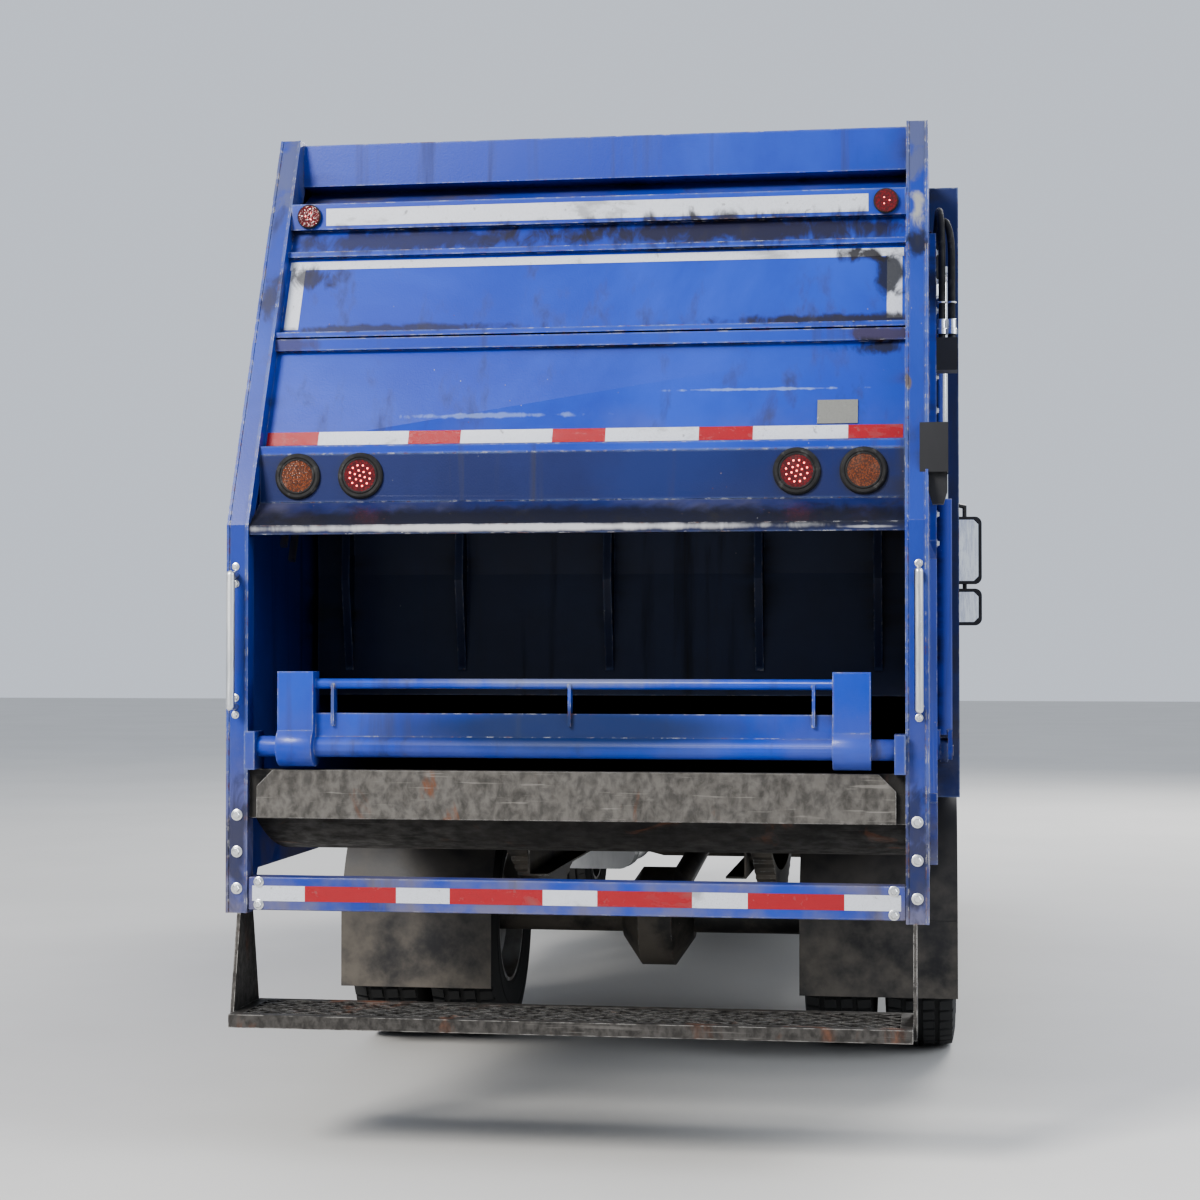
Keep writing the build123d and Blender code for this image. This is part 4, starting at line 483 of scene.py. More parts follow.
@dataclass(frozen=True)
class BrightMetal(Finish):
    """Clean plated, cast or drawn metal with faint turning marks, finger grime and painted shade in its
    corners.
    """

    colour: Colour
    roughness: float = 0.2
    # Strength of the grime patches and of the painted shade in corners.
    grime: float = 0.4

    def lay(self, s: Shading) -> None:
        """Lays the bright metal.

        Args:
            s: The shader to fill in.
        """
        marks = s.noise(90.0, 4.0, (1, 1, 0.12))
        patches = s.band(s.noise(5.0, 9.0, (1, 1, 0.35)), 0.42, 0.80, 0.0, self.grime)
        # Grime patches, and darker corners that are painted shade.
        grime = s.combine("MAXIMUM", patches, s.times(s.corners(0.05), self.grime))
        s.set(Base_Color=s.blend(grime, self.colour, shaded(self.colour, 0.45)), Metallic=1.0)
        rough = s.band(marks, 0.3, 0.7, self.roughness, self.roughness + 0.15)
        s.set(Roughness=s.combine("ADD", rough, patches))
        s.relief(marks, 0.0004, 0.3)


@dataclass(frozen=True)
class Rubber(Finish):
    """Black rubber, greyer where it is dusty."""

    colour: Colour = (0.018, 0.018, 0.019)
    dust: float = 0.6

    def lay(self, s: Shading) -> None:
        """Lays the rubber.

        Args:
            s: The shader to fill in.
        """
        dusty = s.times(s.band(s.noise(6.0, 8.0), 0.36, 0.70), self.dust)
        hollow = s.times(s.corners(0.03), self.dust)
        colour = s.blend(s.combine("MAXIMUM", dusty, hollow), self.colour, shaded(ROAD_DUST, 0.42))
        scuffs = s.band(s.noise(30.0, 5.0, (1, 0.3, 1)), 0.58, 0.66, 0.0, 0.3)
        colour = s.blend(scuffs, colour, (0.11, 0.105, 0.10))
        s.set(Base_Color=colour, Roughness=s.band(s.noise(20.0, 4.0), 0.3, 0.7, 0.62, 0.88))
        s.relief(s.noise(240.0, 4.0), 0.0006, 0.5)


@dataclass(frozen=True)
class Plastic(Finish):
    """Moulded plastic with a fine grain, chalky on top and dusty low down, with painted shade in its corners.
    """

    colour: Colour
    roughness: float = 0.5
    grain: float = 420.0

    def lay(self, s: Shading) -> None:
        """Lays the plastic.

        Args:
            s: The shader to fill in.
        """
        chalk = s.band(s.noise(2.4, 6.0), 0.38, 0.70, 0.0, 0.35)
        colour = s.blend(chalk, self.colour, tuple(min(1.0, c * 1.8 + 0.012) for c in self.colour))
        low = s.times(s.band(s.height(), 1.1, 0.3, 0.0, 0.7), s.band(s.noise(5.0, 6.0), 0.3, 0.65))
        colour = s.blend(low, colour, ROAD_DUST)
        # Darker in corners and recesses: painted shade.
        colour = s.blend(s.times(s.corners(0.06), 0.55), colour, GRIME_AND_SHADE)
        s.set(Base_Color=colour, Roughness=s.combine("ADD", s.times(low, 0.3), self.roughness))
        s.relief(s.cells(self.grain), 0.0005, 0.35)


@dataclass(frozen=True)
class Glazing(Finish):
    """Tinted safety glass with a little dust along its lower edge."""

    colour: Colour = (0.050, 0.066, 0.068)

    def lay(self, s: Shading) -> None:
        """Lays the glass.

        Args:
            s: The shader to fill in.
        """
        film = s.band(s.noise(2.2, 7.0), 0.45, 0.80, 0.0, 0.10)
        s.set(Base_Color=s.blend(film, self.colour, ROAD_DUST), Roughness=s.times(film, 0.5))
        s.set(Transmission_Weight=0.55, IOR=1.45, Specular_IOR_Level=0.6)
        s.relief(s.noise(1.2, 1.0), 0.0001, 0.02)


@dataclass(frozen=True)
class Lens(Finish):
    """Coloured lamp lens with moulded prisms."""

    colour: Colour
    glow: float = 0.0
    prism: float = 130.0

    def lay(self, s: Shading) -> None:
        """Lays the lens.

        Args:
            s: The shader to fill in.
        """
        prisms = s.cells(self.prism)
        colour = s.blend(s.band(prisms, 0.1, 0.7), self.colour, shaded(self.colour, 0.35))
        dust = s.band(s.noise(16.0, 6.0), 0.50, 0.76, 0.0, 0.16)
        colour = s.blend(dust, colour, ROAD_DUST)
        s.set(Base_Color=colour, Roughness=s.combine("ADD", dust, 0.1), Transmission_Weight=0.25)
        s.set(Coat_Weight=0.6, Coat_Roughness=0.06)
        if self.glow:
            s.set(Emission_Color=self.colour, Emission_Strength=self.glow)
        s.relief(prisms, 0.002, 0.6)


@dataclass(frozen=True)
class Tape(Finish):
    """Retro-reflective tape: a honeycomb under a clear film, dirty and scuffed, with the tailgate's marks and
    painted shadows over it.
    """

    colour: Colour
    dirt: float = 0.5
    # The tailgate's marks, with its painted shadows.
    stains_and_shadows: tuple[StainAndShadow, ...] = TAIL_STAINS_AND_SHADOWS

    def lay(self, s: Shading) -> None:
        """Lays the tape.

        Args:
            s: The shader to fill in.
        """
        comb = s.band(s.cells(320.0, (1, 1, 1), "DISTANCE_TO_EDGE"), 0.02, 0.10)
        colour = s.blend(comb, shaded(self.colour, 0.72), self.colour)
        grime = s.band(s.noise(6.5, 8.0, (0.6, 0.6, 1.2), 0.4), 0.56, 0.68, 0.0, self.dirt)
        grime = s.combine("MAXIMUM", grime, s.band(s.noise(42.0, 5.0), 0.62, 0.70, 0.0, self.dirt))
        # Tailgate marks and painted shadows over the tape.
        colour = s.stained_and_shaded(s.blend(grime, colour, (0.10, 0.095, 0.09)), self.stains_and_shadows)
        s.set(Base_Color=colour, Roughness=s.combine("ADD", grime, 0.22), Coat_Weight=0.4, Coat_Roughness=0.1)
        s.relief(comb, 0.0003, 0.25)


@dataclass(frozen=True)
class Cloth(Finish):
    """Woven seat cloth."""

    colour: Colour

    def lay(self, s: Shading) -> None:
        """Lays the cloth.

        Args:
            s: The shader to fill in.
        """
        weave = s.cells(520.0, (1, 1.6, 1))
        colour = s.blend(s.band(weave, 0.1, 0.7), self.colour, shaded(self.colour, 0.45))
        colour = s.blend(s.band(s.noise(4.0, 5.0), 0.4, 0.7, 0.0, 0.4), colour, ROAD_DUST)
        s.set(Base_Color=colour, Roughness=0.92, Sheen_Weight=0.3)
        s.relief(weave, 0.0008, 0.6)


@dataclass(frozen=True)
class Floor(Finish):
    """Pale studio floor."""

    colour: Colour = (0.62, 0.61, 0.59)

    def lay(self, s: Shading) -> None:
        """Lays the floor.

        Args:
            s: The shader to fill in.
        """
        clouds = s.band(s.noise(0.5, 5.0), 0.3, 0.7)
        s.set(Base_Color=s.blend(clouds, self.colour, shaded(self.colour, 0.95)), Roughness=0.75)
        s.relief(s.noise(60.0, 3.0), 0.0005, 0.15)


class Surface(Enum):
    """The truck's finishes by name."""

    BLUE = Paint("blue_body_paint", (0.010, 0.034, 0.27), (0.018, 0.054, 0.35), 0.36)
    TAIL_BLUE = Paint(
        "blue_tailgate_paint", (0.013, 0.042, 0.33), (0.024, 0.068, 0.42), 0.36, stains_and_shadows=TAIL_STAINS_AND_SHADOWS
    )
    POST_BLUE = Paint("blue_post_paint", (0.014, 0.038, 0.26), (0.026, 0.062, 0.34), 0.36, stains_and_shadows=POST_STAINS_AND_SHADOWS)
    LIFTER_BLUE = Paint("blue_lifter_paint", (0.008, 0.042, 0.36), (0.013, 0.066, 0.46), stains_and_shadows=LIFTER_MARKS_AND_SHADE)
    CAB_BLUE = Paint("blue_cab_paint", (0.010, 0.034, 0.27), (0.015, 0.047, 0.32), 0.25, 0.5, 0.5)
    # Painted shade: a darker copy of the body blue for the rear frame and packer barrels.
    DARK_BLUE = Paint("blue_frame_paint_in_shade", (0.004, 0.014, 0.085), (0.008, 0.024, 0.130), 0.42, 0.95)
    # Painted shade: a darker copy of the blue for the lamp panel under the lower panel's overhang.
    PANEL_BLUE = Paint(
        "blue_panel_paint_in_shade", (0.004, 0.012, 0.085), (0.007, 0.020, 0.120), 0.4, stains_and_shadows=LIP_MARKS_AND_SHADOW
    )
    # Soiled, and darkened as painted shade inside the hopper.
    SOILED_BLUE = Paint("soiled_packer_paint_in_shade", (0.005, 0.012, 0.045), (0.008, 0.020, 0.070), 0.5, 1.0, 0.6)
    BLACK = Paint(
        "chassis_black", (0.014, 0.014, 0.015), (0.030, 0.029, 0.028), 0.55, 0.6, 0.8, (0.10, 0.10, 0.10)
    )
    SILVER = Paint("wheel_silver", (0.36, 0.365, 0.37), (0.46, 0.46, 0.46), 0.36, 0.75, 0.7, (0.5, 0.5, 0.5))
    WORN = WornSteel("worn_steel", (0.22, 0.21, 0.20))
    # Soiled, and darkened as painted shade inside the hopper.
    SOILED = WornSteel("soiled_steel_in_shade", (0.050, 0.046, 0.042), 0.35, 0.35, 0.5, 9.0)
    WEAR_PLATE = WornSteel("wear_plate", (0.130, 0.122, 0.112), 0.3, 0.2, 0.6, 30.0)
    GRATING = WornSteel("step_steel", (0.085, 0.080, 0.075), 0.5, 0.5, 0.5, 44.0)
    GUARD = Paint("guard_grey", (0.16, 0.165, 0.17), (0.20, 0.205, 0.21), 0.5, 0.7, 0.6, (0.30, 0.30, 0.30))
    TUBE = BrightMetal("bright_tube", (0.72, 0.73, 0.74), 0.24)
    CHROME = BrightMetal("plated_rod", (0.82, 0.83, 0.84), 0.10, 0.15)
    MIRROR = BrightMetal("mirror_face", (0.90, 0.92, 0.93), 0.03, 0.05)
    ALLOY = BrightMetal("tank_alloy", (0.62, 0.63, 0.64), 0.30, 0.5)
    TYRE = Rubber("tyre_rubber")
    RUBBER = Rubber("black_rubber", (0.008, 0.008, 0.009), 0.12)
    PLASTIC = Plastic("black_plastic", (0.012, 0.012, 0.014))
    GREY_PLASTIC = Plastic("grey_plastic", (0.075, 0.08, 0.085), 0.55)
    GLASS = Glazing("cab_glass")
    CLEAR_LENS = Lens("clear_lens", (0.72, 0.75, 0.78), 0.0, 60.0)
    RED_LENS = Lens("red_lens", (0.20, 0.004, 0.006), 0.10)
    AMBER_LENS = Lens("amber_lens", (0.26, 0.062, 0.012), 0.0, 160.0)
    LIT = Lens("lit_point", (1.0, 0.20, 0.17), 5.0, 20.0)
    WHITE_TAPE = Tape("white_tape", (0.58, 0.60, 0.65))
    RED_TAPE = Tape("red_tape", (0.34, 0.008, 0.014), 0.35)
    PLATE = Tape("grey_plate", (0.20, 0.20, 0.185), 0.4)
    CLOTH = Cloth("seat_cloth", (0.045, 0.05, 0.062))
    FLOOR = Floor("studio_floor")

    def get(self) -> bpy.types.Material:
        """The finish's material, made once."""
        return bpy.data.materials.get(self.value.name) or self.value.material()


# Mesh building


def spread(radius: float, count: int, centre: Span = (0.0, 0.0), start: float = 0.0) -> list[Span]:
    """Places spread evenly round a circle.

    Args:
        radius: The circle's radius.
        count: Number of places.
        centre: Its middle, on two axes.
        start: Angle of the first place, in radians.

    Returns:
        The places, on the same two axes.
    """
    angles = (start + 2 * math.pi * i / count for i in range(count))
    return [(centre[0] + radius * math.cos(t), centre[1] + radius * math.sin(t)) for t in angles]


def placed(name: str, data: bpy.types.ID) -> bpy.types.Object:
    """Puts a new object in the scene.

    Args:
        name: The object's name.
        data: Its mesh, curve, light or camera.

    Returns:
        The object.
    """
    made = bpy.data.objects.new(name, data)
    bpy.context.scene.collection.objects.link(made)
    return made


def rounding(piece: bpy.types.Object, width: float) -> bpy.types.BevelModifier:
    """Rounds a piece's sharp edges with a modifier.

    Args:
        piece: The piece.
        width: Width of the rounding.

    Returns:
        The modifier.
    """
    made = piece.modifiers.new("rounding", "BEVEL")
    made.width = width
    made.segments = 2
    made.limit_method = "ANGLE"
    return made


class Work:
    """One piece's mesh while it is built, in the truck's own frame and in metres."""

    def __init__(self) -> None:
        """Starts an empty mesh."""
        self.mesh = bmesh.new()

    def solid(self, rings: Sequence[Sequence[Vector]], closed: bool = False) -> None:
        """Skins rings of points, with end caps unless the rings close on themselves.

        Args:
            rings: Rings with the same number of points each.
            closed: Whether the last ring joins the first.
        """
        made = [[self.mesh.verts.new(p) for p in ring] for ring in rings]
        pairs = list(zip(made, made[1:]))
        if closed:
            pairs.append((made[-1], made[0]))
        for one, two in pairs:
            for i in range(len(one)):
                j = (i + 1) % len(one)
                self.mesh.faces.new((one[i], one[j], two[j], two[i]))
        if not closed:
            self.mesh.faces.new(list(reversed(made[0])))
            self.mesh.faces.new(made[-1])

    def box(self, low: Point, high: Point) -> None:
        """A box between two corners.

        Args:
            low: Lowest corner.
            high: Highest corner.
        """
        (x0, y0, z0), (x1, y1, z1) = low, high
        corners = ((x0, y0), (x1, y0), (x1, y1), (x0, y1))
        self.solid([[Vector((x, y, z)) for x, y in corners] for z in (z0, z1)])

    def prism(self, outline: Sequence[Point], run: Point) -> None:
        """An outline carried along a straight run.

        Args:
            outline: Points of the outline.
            run: Where the far end lies from the near one.
        """
        near = [Vector(p) for p in outline]
        self.solid([near, [p + Vector(run) for p in near]])

    def rod(self, start: Point, end: Point, radius: float, sides: int = 16) -> None:
        """A round rod.

        Args:
            start: Centre of one end.
            end: Centre of the other end.
            radius: Its radius.
            sides: Number of flats round it.
        """
        self.turned(start, end, [(0.0, radius), (1.0, radius)], sides)

    def turned(self, start: Point, end: Point, profile: Profile, sides: int = 32) -> None:
        """A turned solid about the line from start to end.

        Args:
            start: Where the profile's share is 0.
            end: Where it is 1.
            profile: Share of the way along, and radius there.
            sides: Number of flats round it.
        """
        a, b = Vector(start), Vector(end)
        turn = (b - a).to_track_quat("Z", "Y").to_matrix()
        rings = []
        for share, radius in profile:
            centre = a.lerp(b, share)
            rings.append([centre + turn @ Vector((*place, 0)) for place in spread(radius, sides)])
        self.solid(rings)

    def ring(
        self, centre: Point, axis: Point, major: float, minor: float, around: int = 48, across: int = 10
    ) -> None:
        """A ring of round section.

        Args:
            centre: The ring's centre.
            axis: The direction it faces.
            major: Radius of its middle line.
            minor: Radius of its section.
            around: Steps round the ring.
            across: Steps round its section.
        """
        turn = Vector(axis).to_track_quat("Z", "Y").to_matrix()
        middle, section = Vector(centre), spread(minor, across, (major, 0.0))
        rings = []
        for place in spread(1.0, around):
            out = Vector((*place, 0))
            rings.append([middle + turn @ (out * far + Vector((0, 0, up))) for far, up in section])
        self.solid(rings, closed=True)

    def bolt(self, seat: Point, axis: Point, across: float = 0.024, height: float = 0.012) -> None:
        """A hexagon bolt head on a washer.

        Args:
            seat: Where the washer lies on its surface.
            axis: Outward from the surface.
            across: Width of the head.
            height: Height of the head.
        """
        start, out = Vector(seat), Vector(axis).normalized()
        washer = start + out * (height * 0.22)
        top = washer + out * height
        rim, corner = across * 0.86, across * 0.577
        self.turned(tuple(start), tuple(washer), [(0, rim), (0.7, rim), (1, across * 0.8)], 20)
        self.turned(tuple(washer), tuple(top), [(0, corner), (0.82, corner), (1, across * 0.47)], 6)

    def path(self, points: Sequence[Point], radius: float, closed: bool = True, sides: int = 10) -> None:
        """A round bead along straight runs between points.

        Args:
            points: Corners of the bead's middle line.
            radius: Its radius.
            closed: Whether the last point joins the first.
            sides: Number of flats round it.
        """
        line = [Vector(p) for p in points]
        rings = []
        for i, here in enumerate(line):
            before = line[i - 1] if closed or i else here
            after = line[(i + 1) % len(line)] if closed or i + 1 < len(line) else here
            along = ((here - before).normalized() + (after - here).normalized()).normalized()
            turn = along.to_track_quat("Z", "Y").to_matrix()
            rings.append([here + turn @ Vector((*place, 0)) for place in spread(radius, sides)])
        self.solid(rings, closed)

    def mirrored(self) -> None:
        """Adds the same shape on the truck's other side."""
        copied = bmesh.ops.duplicate(self.mesh, geom=self.mesh.verts[:] + self.mesh.faces[:])["geom"]
        verts = [v for v in copied if isinstance(v, bmesh.types.BMVert)]
        for vert in verts:
            vert.co.x = -vert.co.x
        bmesh.ops.reverse_faces(self.mesh, faces=[f for f in copied if isinstance(f, bmesh.types.BMFace)])

    def piece(
        self, name: str, surface: Surface, body: str, slot: str, bevel: float = 0.0, smooth: float = 35.0
    ) -> bpy.types.Object:
        """Turns the mesh into a piece that rides on a body.

        Args:
            name: The piece's name.
            surface: Its finish.
            body: The moving body it rides on.
            slot: The record's material slot; not used.
            bevel: Width of a rounded edge, or 0 for none.
            smooth: Sharpest angle that is shaded smooth, in degrees.

        Returns:
            The new object.
        """
        bmesh.ops.recalc_face_normals(self.mesh, faces=self.mesh.faces[:])
        for face in self.mesh.faces:
            face.smooth = True
        for edge in self.mesh.edges:
            edge.smooth = len(edge.link_faces) == 2 and edge.calc_face_angle(0.0) < math.radians(smooth)
        data = bpy.data.meshes.new(name)
        self.mesh.to_mesh(data)
        self.mesh.free()
        made = placed(name, data)
        data.materials.append(surface.get())
        if bevel:
            rounding(made, bevel)
        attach(made, body)
        LOG.info("made %s on %s", name, body)
        return made


def hose(name: str, points: Sequence[Point], radius: float, body: str) -> bpy.types.Object:
    """A fixed hydraulic hose along a smooth line.

    Args:
        name: The piece's name.
        points: Control points of its middle line.
        radius: Its radius.
        body: The body it is fixed to.

    Returns:
        The new curve object.
    """
    data = bpy.data.curves.new(name, "CURVE")
    data.dimensions = "3D"
    data.bevel_depth = radius
    data.bevel_resolution = 4
    data.use_fill_caps = True
    line = data.splines.new("NURBS")
    line.points.add(len(points) - 1)
    for point, place in zip(line.points, points):
        point.co = (*place, 1.0)
    line.order_u = 3
    line.use_endpoint_u = True
    data.materials.append(Surface.RUBBER.get())
    made = placed(name, data)
    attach(made, body)
    LOG.info("made %s on %s", name, body)
    return made


# Finishes of the carried-over pieces

NODE_SURFACES: dict[Surface, tuple[str, ...]] = {
    Surface.BLUE: ("tailgate_sides", "rear_bar", "lift_barrels", "body_walls", "body_roof", "body_front"),
    Surface.TAIL_BLUE: ("tailgate_cover",),
    Surface.POST_BLUE: ("tail_posts",),
    Surface.LIFTER_BLUE: ("lifter",),
    Surface.PANEL_BLUE: ("lamp_panel",),
    Surface.DARK_BLUE: ("rear_frame", "packer_barrels"),
    Surface.SOILED_BLUE: ("carriage", "sweep_blade"),
    Surface.CAB_BLUE: ("cab_front", "cab_back", "cab_roof", "door_right", "door_left"),
    Surface.BLACK: (
        "chassis_frame",
        "powertrain",
        "front_axle",
        "rear_axle",
        "leaf_springs",
        "cab_floor",
        "knuckle_right",
        "knuckle_left",
    ),
    Surface.SILVER: ("front_wheel_right", "front_wheel_left", "rear_wheels_right", "rear_wheels_left"),
    Surface.WORN: ("guide_rails", "body_floor"),
    Surface.SOILED: ("hopper_bucket", "ejector"),
    Surface.WEAR_PLATE: ("sill_plate",),
    Surface.GRATING: ("rear_step",),
    Surface.GUARD: ("side_guards",),
    Surface.TUBE: ("grab_rails",),
    Surface.CHROME: ("lift_rods",),
    Surface.ALLOY: ("fuel_tank",),
    Surface.PLASTIC: (
        "front_bumper",
        "cab_steps",
        "front_mudguards",
        "rear_mudguards",
        "mirrors",
        "battery_box",
        "control_box",
    ),
    Surface.GREY_PLASTIC: ("dashboard",),
    Surface.GLASS: ("cab_glass", "door_glass_right", "door_glass_left"),
    Surface.CLEAR_LENS: ("headlamps",),
    Surface.RED_LENS: ("stop_lamps",),
    Surface.AMBER_LENS: ("turn_lamps",),
    Surface.TYRE: ("front_tyre_right", "front_tyre_left", "rear_tyres_right", "rear_tyres_left"),
    Surface.CLOTH: ("seats",),
}

ROUNDED_EDGES: dict[float, tuple[str, ...]] = {
    0.003: ("sill_plate", "lamp_panel", "rear_frame"),
    0.004: (
        "tail_posts",
        "tailgate_sides",
        "tailgate_cover",
        "rear_bar",
        "lifter",
        "body_walls",
        "fuel_tank",
    ),
    0.006: ("front_bumper", "control_box", "battery_box", "mirrors"),
    0.02: ("dashboard",),
    0.035: ("seats",),
}


@dataclass
class CarriedPieces:
    """The pieces that come from the solid model, with their finishes."""

    surfaces: dict[Surface, tuple[str, ...]] = field(default_factory=lambda: dict(NODE_SURFACES))
    rounded: dict[float, tuple[str, ...]] = field(default_factory=lambda: dict(ROUNDED_EDGES))
    weld_reach: float = 0.00005
    sharp_degrees: float = 40.0

    def dress(self) -> None:
        """Gives each piece its finish, and rounds the edges that catch the light."""
        for surface, names in self.surfaces.items():
            for name in names:
                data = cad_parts[name].data
                data.materials.clear()
                data.materials.append(surface.get())
                LOG.info("finished %s as %s", name, surface.value.name)
        for width, names in self.rounded.items():
            for name in names:
                self.round_edges(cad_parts[name], width)

    def round_edges(self, piece: bpy.types.Object, width: float) -> None:
        """Rounds a piece's sharp edges with modifiers.

        Args:
            piece: The carried-over piece.
            width: Width of the rounding.
        """
        weld = piece.modifiers.new("weld", "WELD")
        weld.merge_threshold = self.weld_reach
        bevel = rounding(piece, width)
        bevel.angle_limit = math.radians(self.sharp_degrees)
        bevel.harden_normals = True


# Wheels


class Tread(Enum):
    """Tread patterns: pitches round the tyre."""

    STEER = 64
    DRIVE = 52


@dataclass
class Tyre:
    """A detailed tyre in place of one plain one or a plain twin pair."""

    name: str
    node: str
    body: str
    centres: tuple[float, ...]
    axle_y: float
    tread: Tread
    radius: float = 0.512
    half_width: float = 0.1425
    bead: float = 0.286
    groove: float = 0.014

    def sidewall(self) -> list[tuple[float, float]]:
        """Half section from the bead to the shoulder as (across, radius), with its moulded rings."""
        w, r, b = self.half_width, self.radius, self.bead
        return [
            (w - 0.030, b + 0.001),
            (w - 0.014, b + 0.003),
            (w - 0.008, b + 0.014),
            (w - 0.010, b + 0.022),
            (w - 0.004, b + 0.050),
            (w - 0.001, b + 0.080),
            (w - 0.000, b + 0.095),
            (w - 0.003, b + 0.097),
            (w - 0.004, b + 0.128),
            (w - 0.002, b + 0.130),
            (w - 0.003, b + 0.150),
            (w - 0.008, r - 0.045),
            (w - 0.012, r - 0.026),
        ]

    def place(self, x: float, radius: float, angle: float) -> Vector:
        """A point at an angle round the axle."""
        return Vector((x, self.axle_y + radius * math.cos(angle), self.radius + radius * math.sin(angle)))

    def crown(self, across: float) -> float:
        """Tread radius at a distance from the middle."""
        return self.radius - 0.010 * (abs(across) / (self.half_width - 0.02)) ** 2.6

    def section(self) -> list[tuple[float, int]]:
        """Tread columns as (across, rib number); a negative rib is a groove's floor."""
        edge = self.half_width - 0.016
        cuts = (-0.078, -0.028, 0.028, 0.078) if self.tread is Tread.STEER else (-0.066, 0.0, 0.066)
        half = 0.0065 if self.tread is Tread.STEER else 0.0085
        columns = [(-edge, 0)]
        for rib, cut in enumerate(cuts):
            near, far = cut - half, cut + half
            columns += [(near - 0.002, rib), (near, -1), (far, -1), (far + 0.002, rib + 1)]
        return columns + [(edge, len(cuts))]

    def cut_shares(self) -> list[tuple[float, bool]]:
        """Rows in one pitch as (share of the pitch, whether the row lies in a cross cut)."""
        if self.tread is Tread.STEER:
            return [(0.0, False), (0.46, False), (0.48, True), (0.54, True), (0.56, False)]
        return [(0.0, False), (0.40, False), (0.44, True), (0.62, True), (0.66, False)]

    def shape(self, work: Work, x: float) -> None:
        """Adds one tyre to a mesh.

        Args:
            work: The mesh.
            x: The tyre's middle plane.
        """
        columns = self.section()
        wall = self.sidewall()
        rows = []
        pitches = self.tread.value
        turn = 2 * math.pi / pitches
        for pitch in range(pitches):
            for share, cut in self.cut_shares():
                ring = [(-across, radius, 0.0) for across, radius in wall]
                for across, rib in columns:
                    side = 1 if rib % 2 else -1
                    depth = self.groove if rib < 0 else 0.0
                    outer_rib = rib in (0, columns[-1][1])
                    if cut and rib >= 0 and (self.tread is Tread.DRIVE or outer_rib):
                        depth = self.groove * (0.55 if self.tread is Tread.STEER else 0.9)
                    skew = side * 0.12 * abs(across) / self.half_width if rib >= 0 else 0.0
                    ring.append((across, self.crown(across) - depth, skew))
                ring += [(across, radius, 0.0) for across, radius in reversed(wall)]
                angle = turn * (pitch + share)
                rows.append([self.place(x + across, r, angle + skew * turn) for across, r, skew in ring])
        work.solid(rows, closed=True)

    def build(self) -> None:
        """Makes the tyre or the pair as one piece."""
        work = Work()
        for x in self.centres:
            self.shape(work, x)
        made = work.piece(self.name, Surface.TYRE, self.body, "tyre_rubber", smooth=28.0)
        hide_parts(self.node)


@dataclass
class WheelFittings:
    """Nuts, studs and hub cap of one wheel."""

    name: str
    body: str
    axle_y: float
    face_x: float
    nose_x: float
    outward: int
    axle_z: float = 0.512
    nuts: int = 10
    nut_circle: float = 0.1675
    stud_rise: float = 0.042
    stud_radius: float = 0.010
    cap_bolts: int = 8
    cap_circle: float = 0.076
    cap_rise: float = 0.012
    cap_radius: float = 0.056
    cap_rim: float = 0.048

    def build(self) -> None:
        """Makes the fittings as one piece."""
        work = Work()
        out, axle = (float(self.outward), 0.0, 0.0), (self.axle_y, self.axle_z)
        for place in spread(self.nut_circle, self.nuts, axle, math.pi / self.nuts):
            tip = (self.face_x + self.outward * self.stud_rise, *place)
            work.bolt((self.face_x, *place), out, across=0.036, height=0.026)
            work.rod((self.face_x, *place), tip, self.stud_radius, 12)
        for place in spread(self.cap_circle, self.cap_bolts, axle):
            work.bolt((self.nose_x, *place), out, across=0.013, height=0.006)
        end = (self.nose_x + self.outward * self.cap_rise, *axle)
        profile = [(0, self.cap_radius), (0.6, self.cap_radius), (1, self.cap_rim)]
        work.turned((self.nose_x, *axle), end, profile, 40)
        work.piece(self.name, Surface.TUBE, self.body, "bright_steel")


@dataclass
class Wheels:
    """Treads and fittings of all wheels; faces are the places of the nuts' seats and the hub's nose."""

    front_y: float = 2.755
    rear_y: float = -1.545
    front_tyre: tuple[float, ...] = (1.040,)
    rear_tyres: tuple[float, ...] = (0.770, 1.094)
    front_faces: Span = (1.202, 1.236)
    rear_faces: Span = (0.946, 1.082)

    def build(self) -> None:
        """Makes the pieces of the right wheels, then of the left ones."""
        for side, word in ((1, "right"), (-1, "left")):
            front, rear = f"{word}_front_wheel", f"{word}_rear_wheels"
            x = tuple(side * centre for centre in self.front_tyre)
            Tyre(f"front_tread_{word}", f"front_tyre_{word}", front, x, self.front_y, Tread.STEER).build()
            x = tuple(side * centre for centre in self.rear_tyres)
            Tyre(f"rear_treads_{word}", f"rear_tyres_{word}", rear, x, self.rear_y, Tread.DRIVE).build()
            x = (side * face for face in self.front_faces)
            WheelFittings(f"front_nuts_{word}", front, self.front_y, *x, side).build()
            x = (side * face for face in self.rear_faces)
            WheelFittings(f"rear_nuts_{word}", rear, self.rear_y, *x, side).build()


# Tailgate


@dataclass
class TailSlope:
    """The tailgate's sloping back edge, in the truck's frame."""

    low: Span = (-3.965, 2.05)
    high: Span = (-3.345, 3.45)
    skin_inset: float = 0.050

    def normal(self) -> Vector:
        """Outward from the slope, rearwards and up."""
        run = Vector((0, self.high[0] - self.low[0], self.high[1] - self.low[1])).normalized()
        return Vector((0, -run.z, run.y))

    def skin(self, x: float, z: float, proud: float = 0.0) -> Point:
        """A point on the skin.

        Args:
            x: Place across the truck.
            z: Height.
            proud: Distance out from the skin.

        Returns:
            The point.
        """
        share = (z - self.low[1]) / (self.high[1] - self.low[1])
        edge = self.low[0] + share * (self.high[0] - self.low[0])
        out = self.normal()
        return tuple(Vector((x, edge + self.skin_inset / -out.y, z)) + out * proud)


